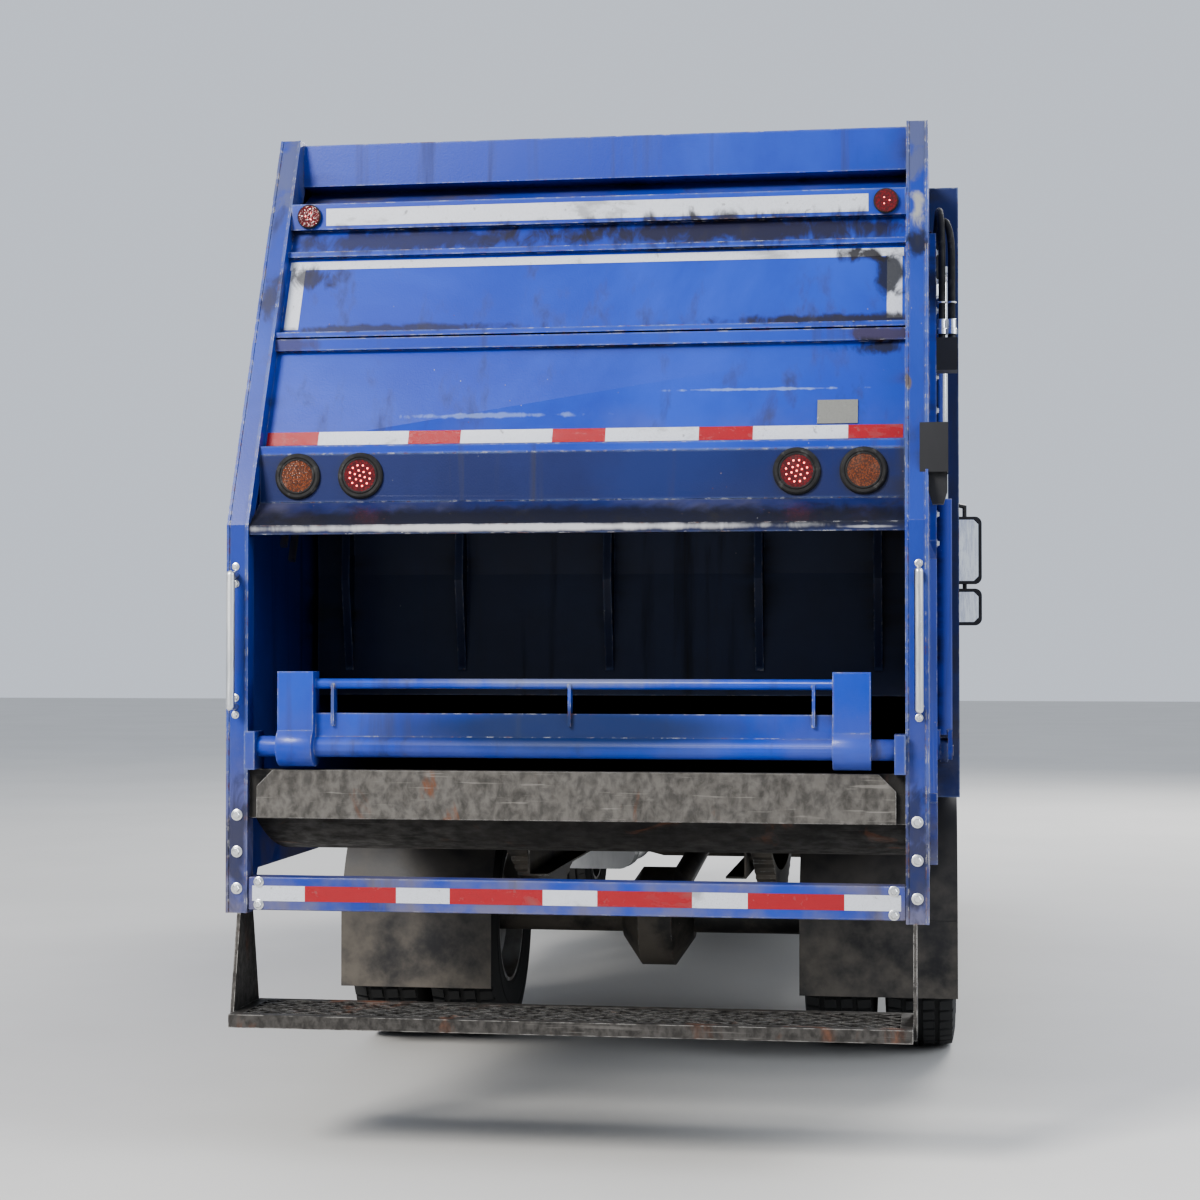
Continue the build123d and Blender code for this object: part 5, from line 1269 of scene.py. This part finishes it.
@dataclass
class Markings:
    """Reflective tapes and the blank plate on the tailgate."""

    slope: TailSlope
    half_width: float = 1.060
    thickness: float = 0.0009
    gap: float = 0.0001
    beam_half: float = 0.941
    beam_z: Span = (3.120, 3.180)
    beam_reach: Span = (3.100, 3.200)
    frame_width: float = 0.051
    frame_inset: float = 0.005
    frame_top_z: Span = (2.960, 2.990)
    frame_side_z: Span = (2.738, 2.9595)
    band_z: Span = (2.324, 2.370)
    bar_half: float = 1.052
    bar_z: Span = (0.820, 0.870)
    red_length: float = 0.177
    plate_x: Span = (0.782, 0.914)
    plate_z: Span = (2.374, 2.455)
    plate_thickness: float = 0.004

    def slope_strip(self, work: Work, x: Span, z: Span, layer: Span) -> None:
        """A strip on the sloping skin.

        Args:
            work: The mesh it is added to.
            x: Left and right limits.
            z: Lower and upper limits.
            layer: How far its two faces stand out from the skin.
        """
        corners = [(x[0], z[0]), (x[1], z[0]), (x[1], z[1]), (x[0], z[1])]
        work.solid([[Vector(self.slope.skin(a, b, proud)) for a, b in corners] for proud in layer])

    def slope_tape(self, work: Work, x: Span, z: Span) -> None:
        """A tape on the sloping skin, within limits across and in height."""
        self.slope_strip(work, x, z, (self.gap, self.thickness))

    def flat_tape(self, work: Work, x: Span, z: Span, face_y: float) -> None:
        """A tape within limits on an upright face that looks rearwards."""
        work.box((x[0], face_y - self.thickness, z[0]), (x[1], face_y - self.gap, z[1]))

    def runs(self, ends_red: bool, half: float) -> tuple[list[Span], list[Span]]:
        """Splits the width into five short and four long runs.

        Args:
            ends_red: Whether the short runs are the red ones.
            half: Half of the tape's whole length.

        Returns:
            Red runs and white runs, each as left and right limits.
        """
        long = (2 * half - 5 * self.red_length) / 4
        red, white, x = [], [], -half
        for i in range(9):
            length = long if i % 2 else self.red_length
            (red if (i % 2 == 0) == ends_red else white).append((x, x + length))
            x += length
        return red, white

    def beam_face(self) -> float:
        """Rear face of the beam across the top of the tailgate."""
        data, (low, high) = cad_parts["tailgate_cover"].data, self.beam_reach
        return min(v.co.y for v in data.vertices if low < v.co.z < high)

    def build(self) -> None:
        """Makes the tapes and the plate."""
        white, red = Work(), Work()
        self.flat_tape(white, (-self.beam_half, self.beam_half), self.beam_z, self.beam_face())
        self.slope_tape(white, (-self.half_width, self.half_width), self.frame_top_z)
        outer = self.half_width - self.frame_inset
        for side in (-1, 1):
            x = sorted((side * outer, side * (outer - self.frame_width)))
            self.slope_tape(white, tuple(x), self.frame_side_z)
        for work, runs in zip((red, white), self.runs(True, self.half_width)):
            for x in runs:
                self.slope_tape(work, x, self.band_z)
        bar_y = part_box("rear_bar")[0].y
        for work, runs in zip((red, white), self.runs(False, self.bar_half)):
            for x in runs:
                self.flat_tape(work, x, self.bar_z, bar_y)
        white.piece("white_tapes", Surface.WHITE_TAPE, "tailgate", "blue_paint")
        red.piece("red_tapes", Surface.RED_TAPE, "tailgate", "blue_paint")
        plate = Work()
        self.slope_strip(plate, self.plate_x, self.plate_z, (0.0, self.plate_thickness))
        plate.piece("blank_plate", Surface.PLATE, "tailgate", "bright_steel", bevel=0.001)


@dataclass
class TailLamps:
    """Rims and lit points of the round lamps; a rim is its depth, radius and thickness."""

    centre_z: float = 2.216
    red_x: float = 0.721
    amber_x: float = 0.935
    top: Span = (1.000, 3.1525)
    rims: tuple[Point, ...] = ((0.009, 0.0665, 0.0105), (0.003, 0.0555, 0.0045))
    top_rim: Point = (0.006, 0.0385, 0.004)
    circles: tuple[tuple[int, float], ...] = ((1, 0.0), (6, 0.0175), (12, 0.035))
    first_angle: float = 0.3
    point: Profile = ((0, 0.0034), (0.7, 0.003), (1, 0.0016))
    point_y: Span = (0.001, -0.003)
    top_above: float = 2.9
    top_points: int = 3
    top_circle: float = 0.012
    top_point: Profile = ((0, 0.003), (1, 0.0018))
    top_point_y: Span = (0.001, -0.002)

    def build(self) -> None:
        """Makes the lamps' fittings."""
        face, top_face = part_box("turn_lamps")[0].y, self.top_face()
        rims = Work()
        for x in (self.red_x, self.amber_x):
            for depth, major, minor in self.rims:
                rims.ring((x, face + depth, self.centre_z), REARWARD, major, minor)
        depth, major, minor = self.top_rim
        rims.ring((self.top[0], top_face + depth, self.top[1]), REARWARD, major, minor)
        rims.mirrored()
        rims.piece("lamp_rims", Surface.RUBBER, "tailgate", "dark_plastic")
        points = Work()
        for count, radius in self.circles:
            for x, z in spread(radius, count, (self.red_x, self.centre_z), self.first_angle):
                foot, tip = ((x, face + y, z) for y in self.point_y)
                points.turned(foot, tip, self.point, 10)
        for x, z in spread(self.top_circle, self.top_points, self.top):
            foot, tip = ((x, top_face + y, z) for y in self.top_point_y)
            points.turned(foot, tip, self.top_point, 10)
        points.mirrored()
        points.piece("lit_points", Surface.LIT, "tailgate", "lamp_red")

    def top_face(self) -> float:
        """Rear face of the small lamps on the top beam."""
        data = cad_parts["stop_lamps"].data
        return min(v.co.y for v in data.vertices if v.co.z > self.top_above)


@dataclass
class TailFasteners:
    """Bolts of the grab rails, step brackets, rear bar and guide channels."""

    rail_x: float = 1.110
    rail_z: Span = (1.455, 1.885)
    rail_apart: float = 0.028
    bracket_x: float = 1.1035
    bracket_z: Point = (0.86, 0.98, 1.10)
    bar_x: float = 1.030
    bar_z: Span = (0.808, 0.882)
    channel: tuple[Point, Point] = ((1.166, -2.897, 3.102), (1.166, -3.395, 1.978))
    channel_shares: tuple[float, ...] = (0.03, 0.13, 0.23, 0.45, 0.56, 0.67, 0.78, 0.89, 0.98)

    def build(self) -> None:
        """Makes the bolts as one piece."""
        work = Work()
        rear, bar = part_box("sill_plate")[0].y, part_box("rear_bar")[0].y
        for z in self.rail_z:
            for away in (-self.rail_apart, self.rail_apart):
                work.bolt((self.rail_x, rear, z + away), REARWARD, across=0.015, height=0.008)
        for z in self.bracket_z:
            work.bolt((self.bracket_x, rear, z), REARWARD, across=0.022, height=0.011)
        for z in self.bar_z:
            work.bolt((self.bar_x, bar, z), REARWARD, across=0.020, height=0.010)
        high, low = (Vector(end) for end in self.channel)
        for share in self.channel_shares:
            work.bolt(tuple(high.lerp(low, share)), RIGHTWARD, across=0.016, height=0.007)
        work.mirrored()
        work.piece("tail_bolts", Surface.TUBE, "tailgate", "bright_steel")


@dataclass
class TailPlumbing:
    """Hydraulic hoses from the valve box, with their ferrules, clamps and wall fittings."""

    side_x: float = 1.140
    port_y: float = -3.086
    port_z: float = 2.752
    ports: Span = (1.186, 1.220)
    middle_z: Span = (3.040, 3.022)
    wall_y: Span = (-2.735, -2.785)
    wall_z: float = 2.930
    wall_rise: float = 0.024
    grips: Span = (0.030, 0.020)
    hose_radius: float = 0.0125
    ferrule_z: Span = (-0.002, 0.052)
    clamp_rise: float = 0.110
    clamp: Span = (0.0135, 0.0035)
    elbow_rise: float = 0.050
    ferrule: Profile = ((0, 0.019), (0.35, 0.019), (0.4, 0.0155), (0.96, 0.0155), (1, 0.0135))
    wall_nut: Profile = ((0, 0.024), (0.4, 0.024), (0.5, 0.018), (1, 0.018))
    elbow_end: Profile = ((0, 0.018), (0.5, 0.018), (0.6, 0.015), (1, 0.015))

    def arch(self, start: Point, end: Point, middle_z: float) -> list[Point]:
        """A hose's control points: up, over in half a circle, and down.

        Args:
            start: Where it leaves its port.
            end: Where it enters its wall fitting.
            middle_z: Height of the half circle's centre.

        Returns:
            The points, with straight stretches at both ends.
        """
        radius, eighth = (end[1] - start[1]) / 2, math.pi / 8
        foot = middle_z - radius * math.tan(eighth)
        corners = []
        for step in range(4):
            angle, reach = eighth * (7 - 2 * step), radius / math.cos(eighth)
            x = start[0] + (end[0] - start[0]) * step / 3
            y = (start[1] + end[1]) / 2 + reach * math.cos(angle)
            corners.append((x, y, middle_z + reach * math.sin(angle)))
        return [start, (*start[:2], foot), *corners, (*end[:2], foot), end]

    def build(self) -> None:
        """Makes the hoses and their fittings."""
        fittings, (port_grip, wall_grip) = Work(), self.grips
        for i, x in enumerate(self.ports):
            port, wall = (x, self.port_y), (self.side_x + self.wall_rise, self.wall_y[i])
            start, end = (*port, self.port_z + port_grip), (*wall, self.wall_z + wall_grip)
            route = self.arch(start, end, self.middle_z[i])
            hose(f"tail_hose_{i + 1}", route, self.hose_radius, "tailgate")
            foot, neck = ((*port, self.port_z + z) for z in self.ferrule_z)
            fittings.turned(foot, neck, self.ferrule, 18)
            fittings.ring((*port, self.port_z + self.clamp_rise), UPWARD, *self.clamp, 24, 8)
            elbow = (*wall, self.wall_z)
            fittings.turned((self.side_x, *elbow[1:]), elbow, self.wall_nut, 12)
            fittings.turned(elbow, (*wall, self.wall_z + self.elbow_rise), self.elbow_end, 18)
        fittings.piece("hose_fittings", Surface.TUBE, "tailgate", "bright_steel")


@dataclass
class StepGrating:
    """Expanded-metal tread of the riding step."""

    half_length: float = 1.054
    depth: float = 0.350
    top: float = 0.4695
    margin: float = 0.036
    diamond: Span = (0.075, 0.030)
    strand: Span = (0.0045, 0.004)

    def build(self) -> None:
        """Makes the tread as one piece."""
        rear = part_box("rear_step")[0].y
        x0, x1 = -self.half_length, self.half_length
        y0, y1 = rear + self.margin, rear + self.depth - self.margin
        work = Work()
        across, along = self.diamond
        rows, count = int((y1 - y0) / along), int((x1 - x0) / across)
        for row in range(rows):
            ya, yb = y0 + (y1 - y0) * row / rows, y0 + (y1 - y0) * (row + 1) / rows
            for i in range(count):
                xa, xb = x0 + (x1 - x0) * i / count, x0 + (x1 - x0) * (i + 1) / count
                middle = (xa + xb) / 2
                for x in (xa, xb):
                    a, b = ((middle, ya), (x, yb)) if row % 2 else ((x, ya), (middle, yb))
                    self.strip(work, a, b)
        work.piece("step_grating", Surface.GRATING, "tailgate", "worn_steel")

    def strip(self, work: Work, a: Span, b: Span) -> None:
        """One strand of the tread.

        Args:
            work: The mesh it is added to.
            a: One end as (x, y).
            b: Other end as (x, y).
        """
        width, thick = self.strand
        start, end = Vector((*a, 0)), Vector((*b, 0))
        side = (end - start).normalized().cross(Vector(UPWARD)) * (width / 2)
        ring = [start - side, end - side, end + side, start + side]
        work.solid([[p + Vector((0, 0, z)) for p in ring] for z in (self.top - thick, self.top)])


# Body and chassis


@dataclass
class SideMarkers:
    """Side marker lamps on the body's lower rails."""

    x: float = 1.242
    z: float = 1.205
    places_y: Point = (1.64, 0.22, -1.20)
    base_x: Span = (-0.004, 0.006)
    base_half: Span = (0.055, 0.026)
    lens_foot: Point = (0.005, 0.047, 0.019)
    lens_face: Point = (0.016, 0.041, 0.013)
    lens_height: float = 0.032

    def build(self) -> None:
        """Makes the lamps' bases and lenses."""
        bases, lenses = Work(), Work()
        x, z = self.x, self.z
        (near, far), (long, tall) = self.base_x, self.base_half
        (x0, y0, z0), (x1, y1, z1) = self.lens_foot, self.lens_face
        for y in self.places_y:
            bases.box((x + near, y - long, z - tall), (x + far, y + long, z + tall))
            foot = [(x + x0, y - y0, z - z0), (x + x0, y + y0, z - z0)]
            face = [(x + x1, y + y1, z - z1), (x + x1, y - y1, z - z1)]
            lenses.prism(foot + face, (0.0, 0.0, self.lens_height))
        for work in (bases, lenses):
            work.mirrored()
        bases.piece("marker_bases", Surface.RUBBER, "truck", "dark_plastic", bevel=0.002)
        lenses.piece("marker_lenses", Surface.AMBER_LENS, "truck", "lamp_amber", bevel=0.002)


@dataclass
class BoxLatches:
    """The battery box's two latches: a plate, a hinge pin and a lever each.

    The plate and the lever are given by their reach outward, half width and drop below the box's top.
    """

    shares: Span = (0.72, 0.93)
    plate: tuple[Span, float, Span] = ((-0.004, 0.006), 0.022, (0.125, 0.055))
    lever: tuple[Span, float, Span] = ((0.004, 0.012), 0.010, (0.120, 0.070))
    pin: Point = (0.008, 0.026, 0.066)
    pin_radius: float = 0.005

    def block(self, work: Work, place: Point, reach: Span, half: float, drop: Span) -> None:
        """Adds a block to a latch.

        Args:
            work: The mesh it is added to.
            place: The latch's place on the box's upper outer edge.
            reach: How far its two faces stand out.
            half: Half of its width.
            drop: How far its lower and upper faces lie below the edge.
        """
        x, y, z = place
        work.box((x + reach[0], y - half, z - drop[0]), (x + reach[1], y + half, z - drop[1]))

    def build(self) -> None:
        """Makes both latches as one piece."""
        work = Work()
        low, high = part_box("battery_box")
        out, half, drop = self.pin
        for share in self.shares:
            y = low.y + (high.y - low.y) * share
            place = (high.x, y, high.z)
            near, far = ((high.x + out, y + away, high.z - drop) for away in (-half, half))
            self.block(work, place, *self.plate)
            work.rod(near, far, self.pin_radius)
            self.block(work, place, *self.lever)
        work.piece("box_latches", Surface.TUBE, "truck", "bright_steel", bevel=0.0015)


@dataclass
class TankCap:
    """The fuel tank's cap with its grips."""

    place: Span = (-0.8725, 1.925)
    z: Span = (0.996, 1.0195)
    radius: float = 0.063
    edge: float = 0.058
    grips: int = 10
    grip_z: Span = (0.999, 1.016)
    grip_radius: float = 0.006

    def build(self) -> None:
        """Makes the cap as one piece."""
        work = Work()
        low, high = self.z
        profile = [(0, self.edge), (0.1, self.radius), (0.85, self.radius), (1, self.edge)]
        work.turned((*self.place, low), (*self.place, high), profile, 40)
        low, high = self.grip_z
        for place in spread(self.radius, self.grips, self.place):
            work.rod((*place, low), (*place, high), self.grip_radius, 10)
        work.piece("tank_cap", Surface.PLASTIC, "truck", "dark_plastic")


# Cab


DOORS: tuple[tuple[int, str], ...] = ((1, "right_door"), (-1, "left_door"))


@dataclass
class CabFaces:
    """The cab's faces and openings that its trim lies on, in the truck's frame."""

    front_y: float = 4.045
    side_x: float = 1.150
    screen_z: Span = (1.720, 2.490)
    screen_half: float = 1.010
    screen_depth: float = 0.018
    screen_lean: float = 0.1771
    door_y: Span = (2.880, 3.880)

    def screen_y(self, z: float) -> float:
        """Outer face of the windscreen's surround at a height."""
        return self.front_y - self.screen_depth - (z - self.screen_z[0]) * self.screen_lean


@dataclass
class ScreenHeader:
    """The strip between the windscreen and the roof, with its drip rail."""

    half: float = 1.031
    line: Profile = ((3.8900, 2.4915), (3.8800, 2.550), (3.8690, 2.5675))
    thickness: float = 0.052
    rail: Point = (1.028, 3.8765, 2.5665)
    rail_radius: float = 0.006

    def build(self) -> None:
        """Makes the strip and the rail."""
        outer = tuple(self.line)
        inner = tuple((y - self.thickness, z) for y, z in reversed(outer))
        strip, rail = Work(), Work()
        strip.prism([(-self.half, y, z) for y, z in outer + inner], (2 * self.half, 0, 0))
        strip.piece("screen_header", Surface.CAB_BLUE, "cab", "blue_paint", bevel=0.002)
        x, y, z = self.rail
        rail.path([(-x, y, z), (x, y, z)], self.rail_radius, closed=False)
        rail.piece("drip_rail", Surface.RUBBER, "cab", "dark_plastic")


@dataclass
class Seals:
    """Rubber seals round the windscreen, the rear pane and the side windows."""

    cab: CabFaces
    sunk: float = 0.006
    radius: float = 0.014
    screen_radius: float = 0.015
    screen_inset: Span = (0.009, 0.049)
    pane_y: float = 2.345
    pane_half: float = 0.511
    pane_z: Span = (1.959, 2.371)
    window_inset: Span = (0.098, 0.080)
    window_z: Span = (1.769, 2.431)
    window_lean: float = 0.096

    def build(self) -> None:
        """Makes one piece on the cab and one on each door."""
        self.cab_seals()
        rear, ahead = self.cab.door_y[0] + self.window_inset[0], self.cab.door_y[1] - self.window_inset[1]
        low, high = self.window_z
        line = [(rear, low), (ahead, low), (ahead - self.window_lean, high), (rear, high)]
        for side, body in DOORS:
            work, x = Work(), side * (self.cab.side_x - self.sunk)
            work.path([(x, y, z) for y, z in line], self.radius)
            work.piece(f"{body}_seal", Surface.RUBBER, body, "dark_plastic")

    def cab_seals(self) -> None:
        """Makes the seals of the windscreen and the rear pane."""
        work, (foot, head) = Work(), self.screen_inset
        low, high = self.cab.screen_z[0] + foot, self.cab.screen_z[1] - foot
        wide, narrow = self.cab.screen_half - foot, self.cab.screen_half - head
        corners = [(-wide, low), (wide, low), (narrow, high), (-narrow, high)]
        work.path([(x, self.cab.screen_y(z) - self.sunk, z) for x, z in corners], self.screen_radius)
        half, (low, high) = self.pane_half, self.pane_z
        corners = [(-half, low), (half, low), (half, high), (-half, high)]
        work.path([(x, self.pane_y + self.sunk, z) for x, z in corners], self.radius)
        work.piece("screen_seals", Surface.RUBBER, "cab", "dark_plastic")


@dataclass
class Wipers:
    """Two wipers, parked along the windscreen's lower edge."""

    cab: CabFaces
    ends: tuple[Span, ...] = ((-0.62, 0.05), (0.12, 0.80))
    rise: Span = (-0.030, 0.045)
    sunk: float = 0.004
    boss_y: Span = (-0.022, -0.001)
    boss: Profile = ((0, 0.02), (0.8, 0.018), (1, 0.012))
    root_y: float = -0.012
    elbow: Span = (-0.008, 0.030)
    arm_radius: float = 0.010
    blade_share: float = 0.46
    blade_outer: float = 0.55
    blade_rise: Span = (-0.022, 0.020)
    blade_radius: float = 0.011

    def build(self) -> None:
        """Makes both wipers as one piece."""
        work = Work()
        z0, z1 = (self.cab.screen_z[0] + rise for rise in self.rise)
        y0, y1 = self.cab.front_y - self.sunk, self.cab.screen_y(z1) - self.sunk
        for pivot, tip in self.ends:
            back, front = ((pivot, y0 + y, z0) for y in self.boss_y)
            work.turned(back, front, self.boss, 20)
            elbow = ((pivot + tip) / 2, y0 + self.elbow[0], z0 + self.elbow[1])
            line = [(pivot, y0 + self.root_y, z0), elbow, (tip, y1, z1)]
            work.path(line, self.arm_radius, closed=False)
            half, (low, high) = (tip - pivot) * self.blade_share, self.blade_rise
            blade = [(tip - half, y1, z1 + low), (tip + half * self.blade_outer, y1, z1 + high)]
            work.path(blade, self.blade_radius, closed=False)
        work.piece("wipers", Surface.PLASTIC, "cab", "dark_plastic")


@dataclass
class MirrorFaces:
    """The reflecting faces of the four mirrors."""

    x: Span = (1.272, 1.428)
    z: tuple[Span, ...] = ((2.080, 2.480), (1.812, 2.008))
    corner: float = 0.03
    proud: float = 0.001
    thickness: float = 0.003
    housing_x: float = 1.40

    def build(self) -> None:
        """Makes the faces as one piece."""
        work = Work()
        rear = min(v.co.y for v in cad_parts["mirrors"].data.vertices if v.co.x > self.housing_x)
        (left, right), cut = self.x, self.corner
        for low, high in self.z:
            face = [(left, low + cut), (left + cut, low), (right - cut, low), (right, low + cut)]
            face += [(right, high - cut), (right - cut, high), (left + cut, high), (left, high - cut)]
            work.prism([(x, rear - self.proud, z) for x, z in face], (0, self.thickness, 0))
        work.mirrored()
        work.piece("mirror_faces", Surface.MIRROR, "cab", "rod_chrome")


@dataclass
class GrilleMesh:
    """Dark mesh of upright bars in the grille's slots."""

    cab: CabFaces
    depth: float = 0.0295
    half: float = 0.719
    slots: int = 6
    slot_z: Span = (1.131, 1.175)
    pitch: float = 0.074
    thickness: float = 0.004
    bars: int = 60
    bar_half: float = 0.003
    bar_rise: float = 0.012
    edge: float = 0.011

    def build(self) -> None:
        """Makes the mesh of all slots as one piece."""
        work = Work()
        y, reach = self.cab.front_y - self.depth, self.half - self.edge
        face, front = y + self.thickness, y + self.bar_rise
        for row in range(self.slots):
            low, high = (z + row * self.pitch for z in self.slot_z)
            work.box((-self.half, y, low), (self.half, face, high))
            for i in range(self.bars):
                x = -reach + 2 * reach * i / (self.bars - 1)
                work.box((x - self.bar_half, face, low), (x + self.bar_half, front, high))
        work.piece("grille_mesh", Surface.PLASTIC, "cab", "dark_plastic")


@dataclass
class HandlePlates:
    """The dark wells and locks behind the door handles; y is measured from the door's back edge."""

    cab: CabFaces
    x: Span = (-0.002, 0.0015)
    y: Span = (0.045, 0.268)
    z: Span = (1.578, 1.662)
    lock: Span = (0.235, 1.592)
    lock_x: Span = (0.001, 0.006)
    lock_shape: Profile = ((0, 0.011), (0.7, 0.011), (1, 0.008))

    def build(self) -> None:
        """Makes one piece on each door."""
        back, (y0, y1), (z0, z1) = self.cab.door_y[0], self.y, self.z
        lock = (back + self.lock[0], self.lock[1])
        for side, body in DOORS:
            work = Work()
            near, far = sorted(side * (self.cab.side_x + x) for x in self.x)
            work.box((near, back + y0, z0), (far, back + y1, z1))
            start, end = ((side * (self.cab.side_x + x), *lock) for x in self.lock_x)
            work.turned(start, end, self.lock_shape, 20)
            work.piece(f"{body}_handle_plate", Surface.PLASTIC, body, "dark_plastic", bevel=0.001)


@dataclass
class HeadlampRings:
    """Reflector rings and bulbs in the headlamp pockets; a cup is its place across and its radius."""

    cups: tuple[Span, ...] = ((0.785, 0.080), (0.935, 0.058))
    gap: float = 0.004
    sunk: float = 0.002
    section: float = 0.007
    bulb_y: Span = (-0.001, 0.012)
    bulb: Profile = ((0, 0.022), (0.6, 0.018), (1, 0.008))

    def build(self) -> None:
        """Makes the rings and bulbs as one piece."""
        work = Work()
        low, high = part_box("headlamps")
        z = (low.z + high.z) / 2
        for x, radius in self.cups:
            work.ring((x, high.y - self.sunk, z), FORWARD, radius + self.gap, self.section)
            foot, tip = ((x, high.y + y, z) for y in self.bulb_y)
            work.turned(foot, tip, self.bulb, 20)
        work.mirrored()
        work.piece("headlamp_rings", Surface.CHROME, "truck", "rod_chrome")


# Studio


def aim(made: bpy.types.Object, place: Point, target: Point) -> None:
    """Puts a light or camera at a place, turned to a target.

    Args:
        made: The light or camera.
        place: Where it stands.
        target: What it points at.
    """
    made.location = place
    made.rotation_euler = (Vector(target) - Vector(place)).to_track_quat("-Z", "Y").to_euler()


@dataclass
class Studio:
    """Floor, soft light and the camera at the photograph's viewpoint."""

    eye: Point = (1.172, -11.265, 1.65)
    target: Point = (0.098, -3.965, 1.80)
    view_degrees: float = 29.2
    sensor: float = 36.0
    floor_reach: float = 60.0
    sky: Colour = (0.84, 0.90, 1.0)
    sky_strength: float = 0.7
    # Name, place, target, side in metres, strength in watts, colour
    lamps: tuple[tuple[str, Point, Point, float, float, Colour], ...] = (
        ("key", (-6.0, -13.0, 9.0), (0, -3, 1.6), 4.0, 2100.0, (1.0, 0.97, 0.92)),
        ("fill", (9.0, -6.0, 6.0), (0, -1, 1.5), 6.0, 500.0, (0.92, 0.96, 1.0)),
        ("rim", (5.0, 13.0, 10.0), (0, 2, 2.0), 5.0, 1500.0, (1.0, 0.98, 0.95)),
    )

    def floor(self) -> None:
        """Lays a plain pale floor."""
        data, far = bpy.data.meshes.new("floor"), self.floor_reach
        data.from_pydata([(-far, -far, 0), (far, -far, 0), (far, far, 0), (-far, far, 0)], [], [(0, 1, 2, 3)])
        data.materials.append(Surface.FLOOR.get())
        made = placed("floor", data)

    def light(self) -> None:
        """Sets a pale sky and hangs the soft lights."""
        world = bpy.data.worlds.new("pale_sky")
        world.use_nodes = True
        shade = world.node_tree.nodes["Background"]
        shade.inputs["Color"].default_value = (*self.sky, 1.0)
        shade.inputs["Strength"].default_value = self.sky_strength
        bpy.context.scene.world = world
        bpy.context.scene.view_settings.look = "AgX - Medium High Contrast"
        for name, place, target, size, power, colour in self.lamps:
            data = bpy.data.lights.new(name, "AREA")
            data.size, data.energy, data.color = size, power, colour
            aim(placed(name, data), place, target)

    def camera(self) -> None:
        """Sets the camera, level and at the photograph's eye point."""
        data = bpy.data.cameras.new("camera")
        data.sensor_width = self.sensor
        data.lens = self.sensor / 2 / math.tan(math.radians(self.view_degrees / 2))
        data.clip_end = 200.0
        made = placed("camera", data)
        aim(made, self.eye, self.target)
        bpy.context.scene.camera = made

    def build(self) -> None:
        """Sets up the studio."""
        for part in (self.floor, self.light, self.camera):
            part()
        LOG.info("studio is set")


def main() -> None:
    """Builds and dresses the truck, sub-assembly by sub-assembly."""
    logging.basicConfig(level=logging.INFO, format="%(name)s: %(message)s")
    CarriedPieces().dress()
    tail = (Markings(TailSlope()), TailLamps(), TailFasteners(), TailPlumbing(), StepGrating())
    sides = (SideMarkers(), BoxLatches(), TankCap())
    faces = CabFaces()
    front = (ScreenHeader(), Seals(faces), Wipers(faces), MirrorFaces(), GrilleMesh(faces))
    doors = (HandlePlates(faces), HeadlampRings())
    for assembly in (Wheels(), *tail, *sides, *front, *doors, Studio()):
        assembly.build()


if __name__ == "__main__":
    main()
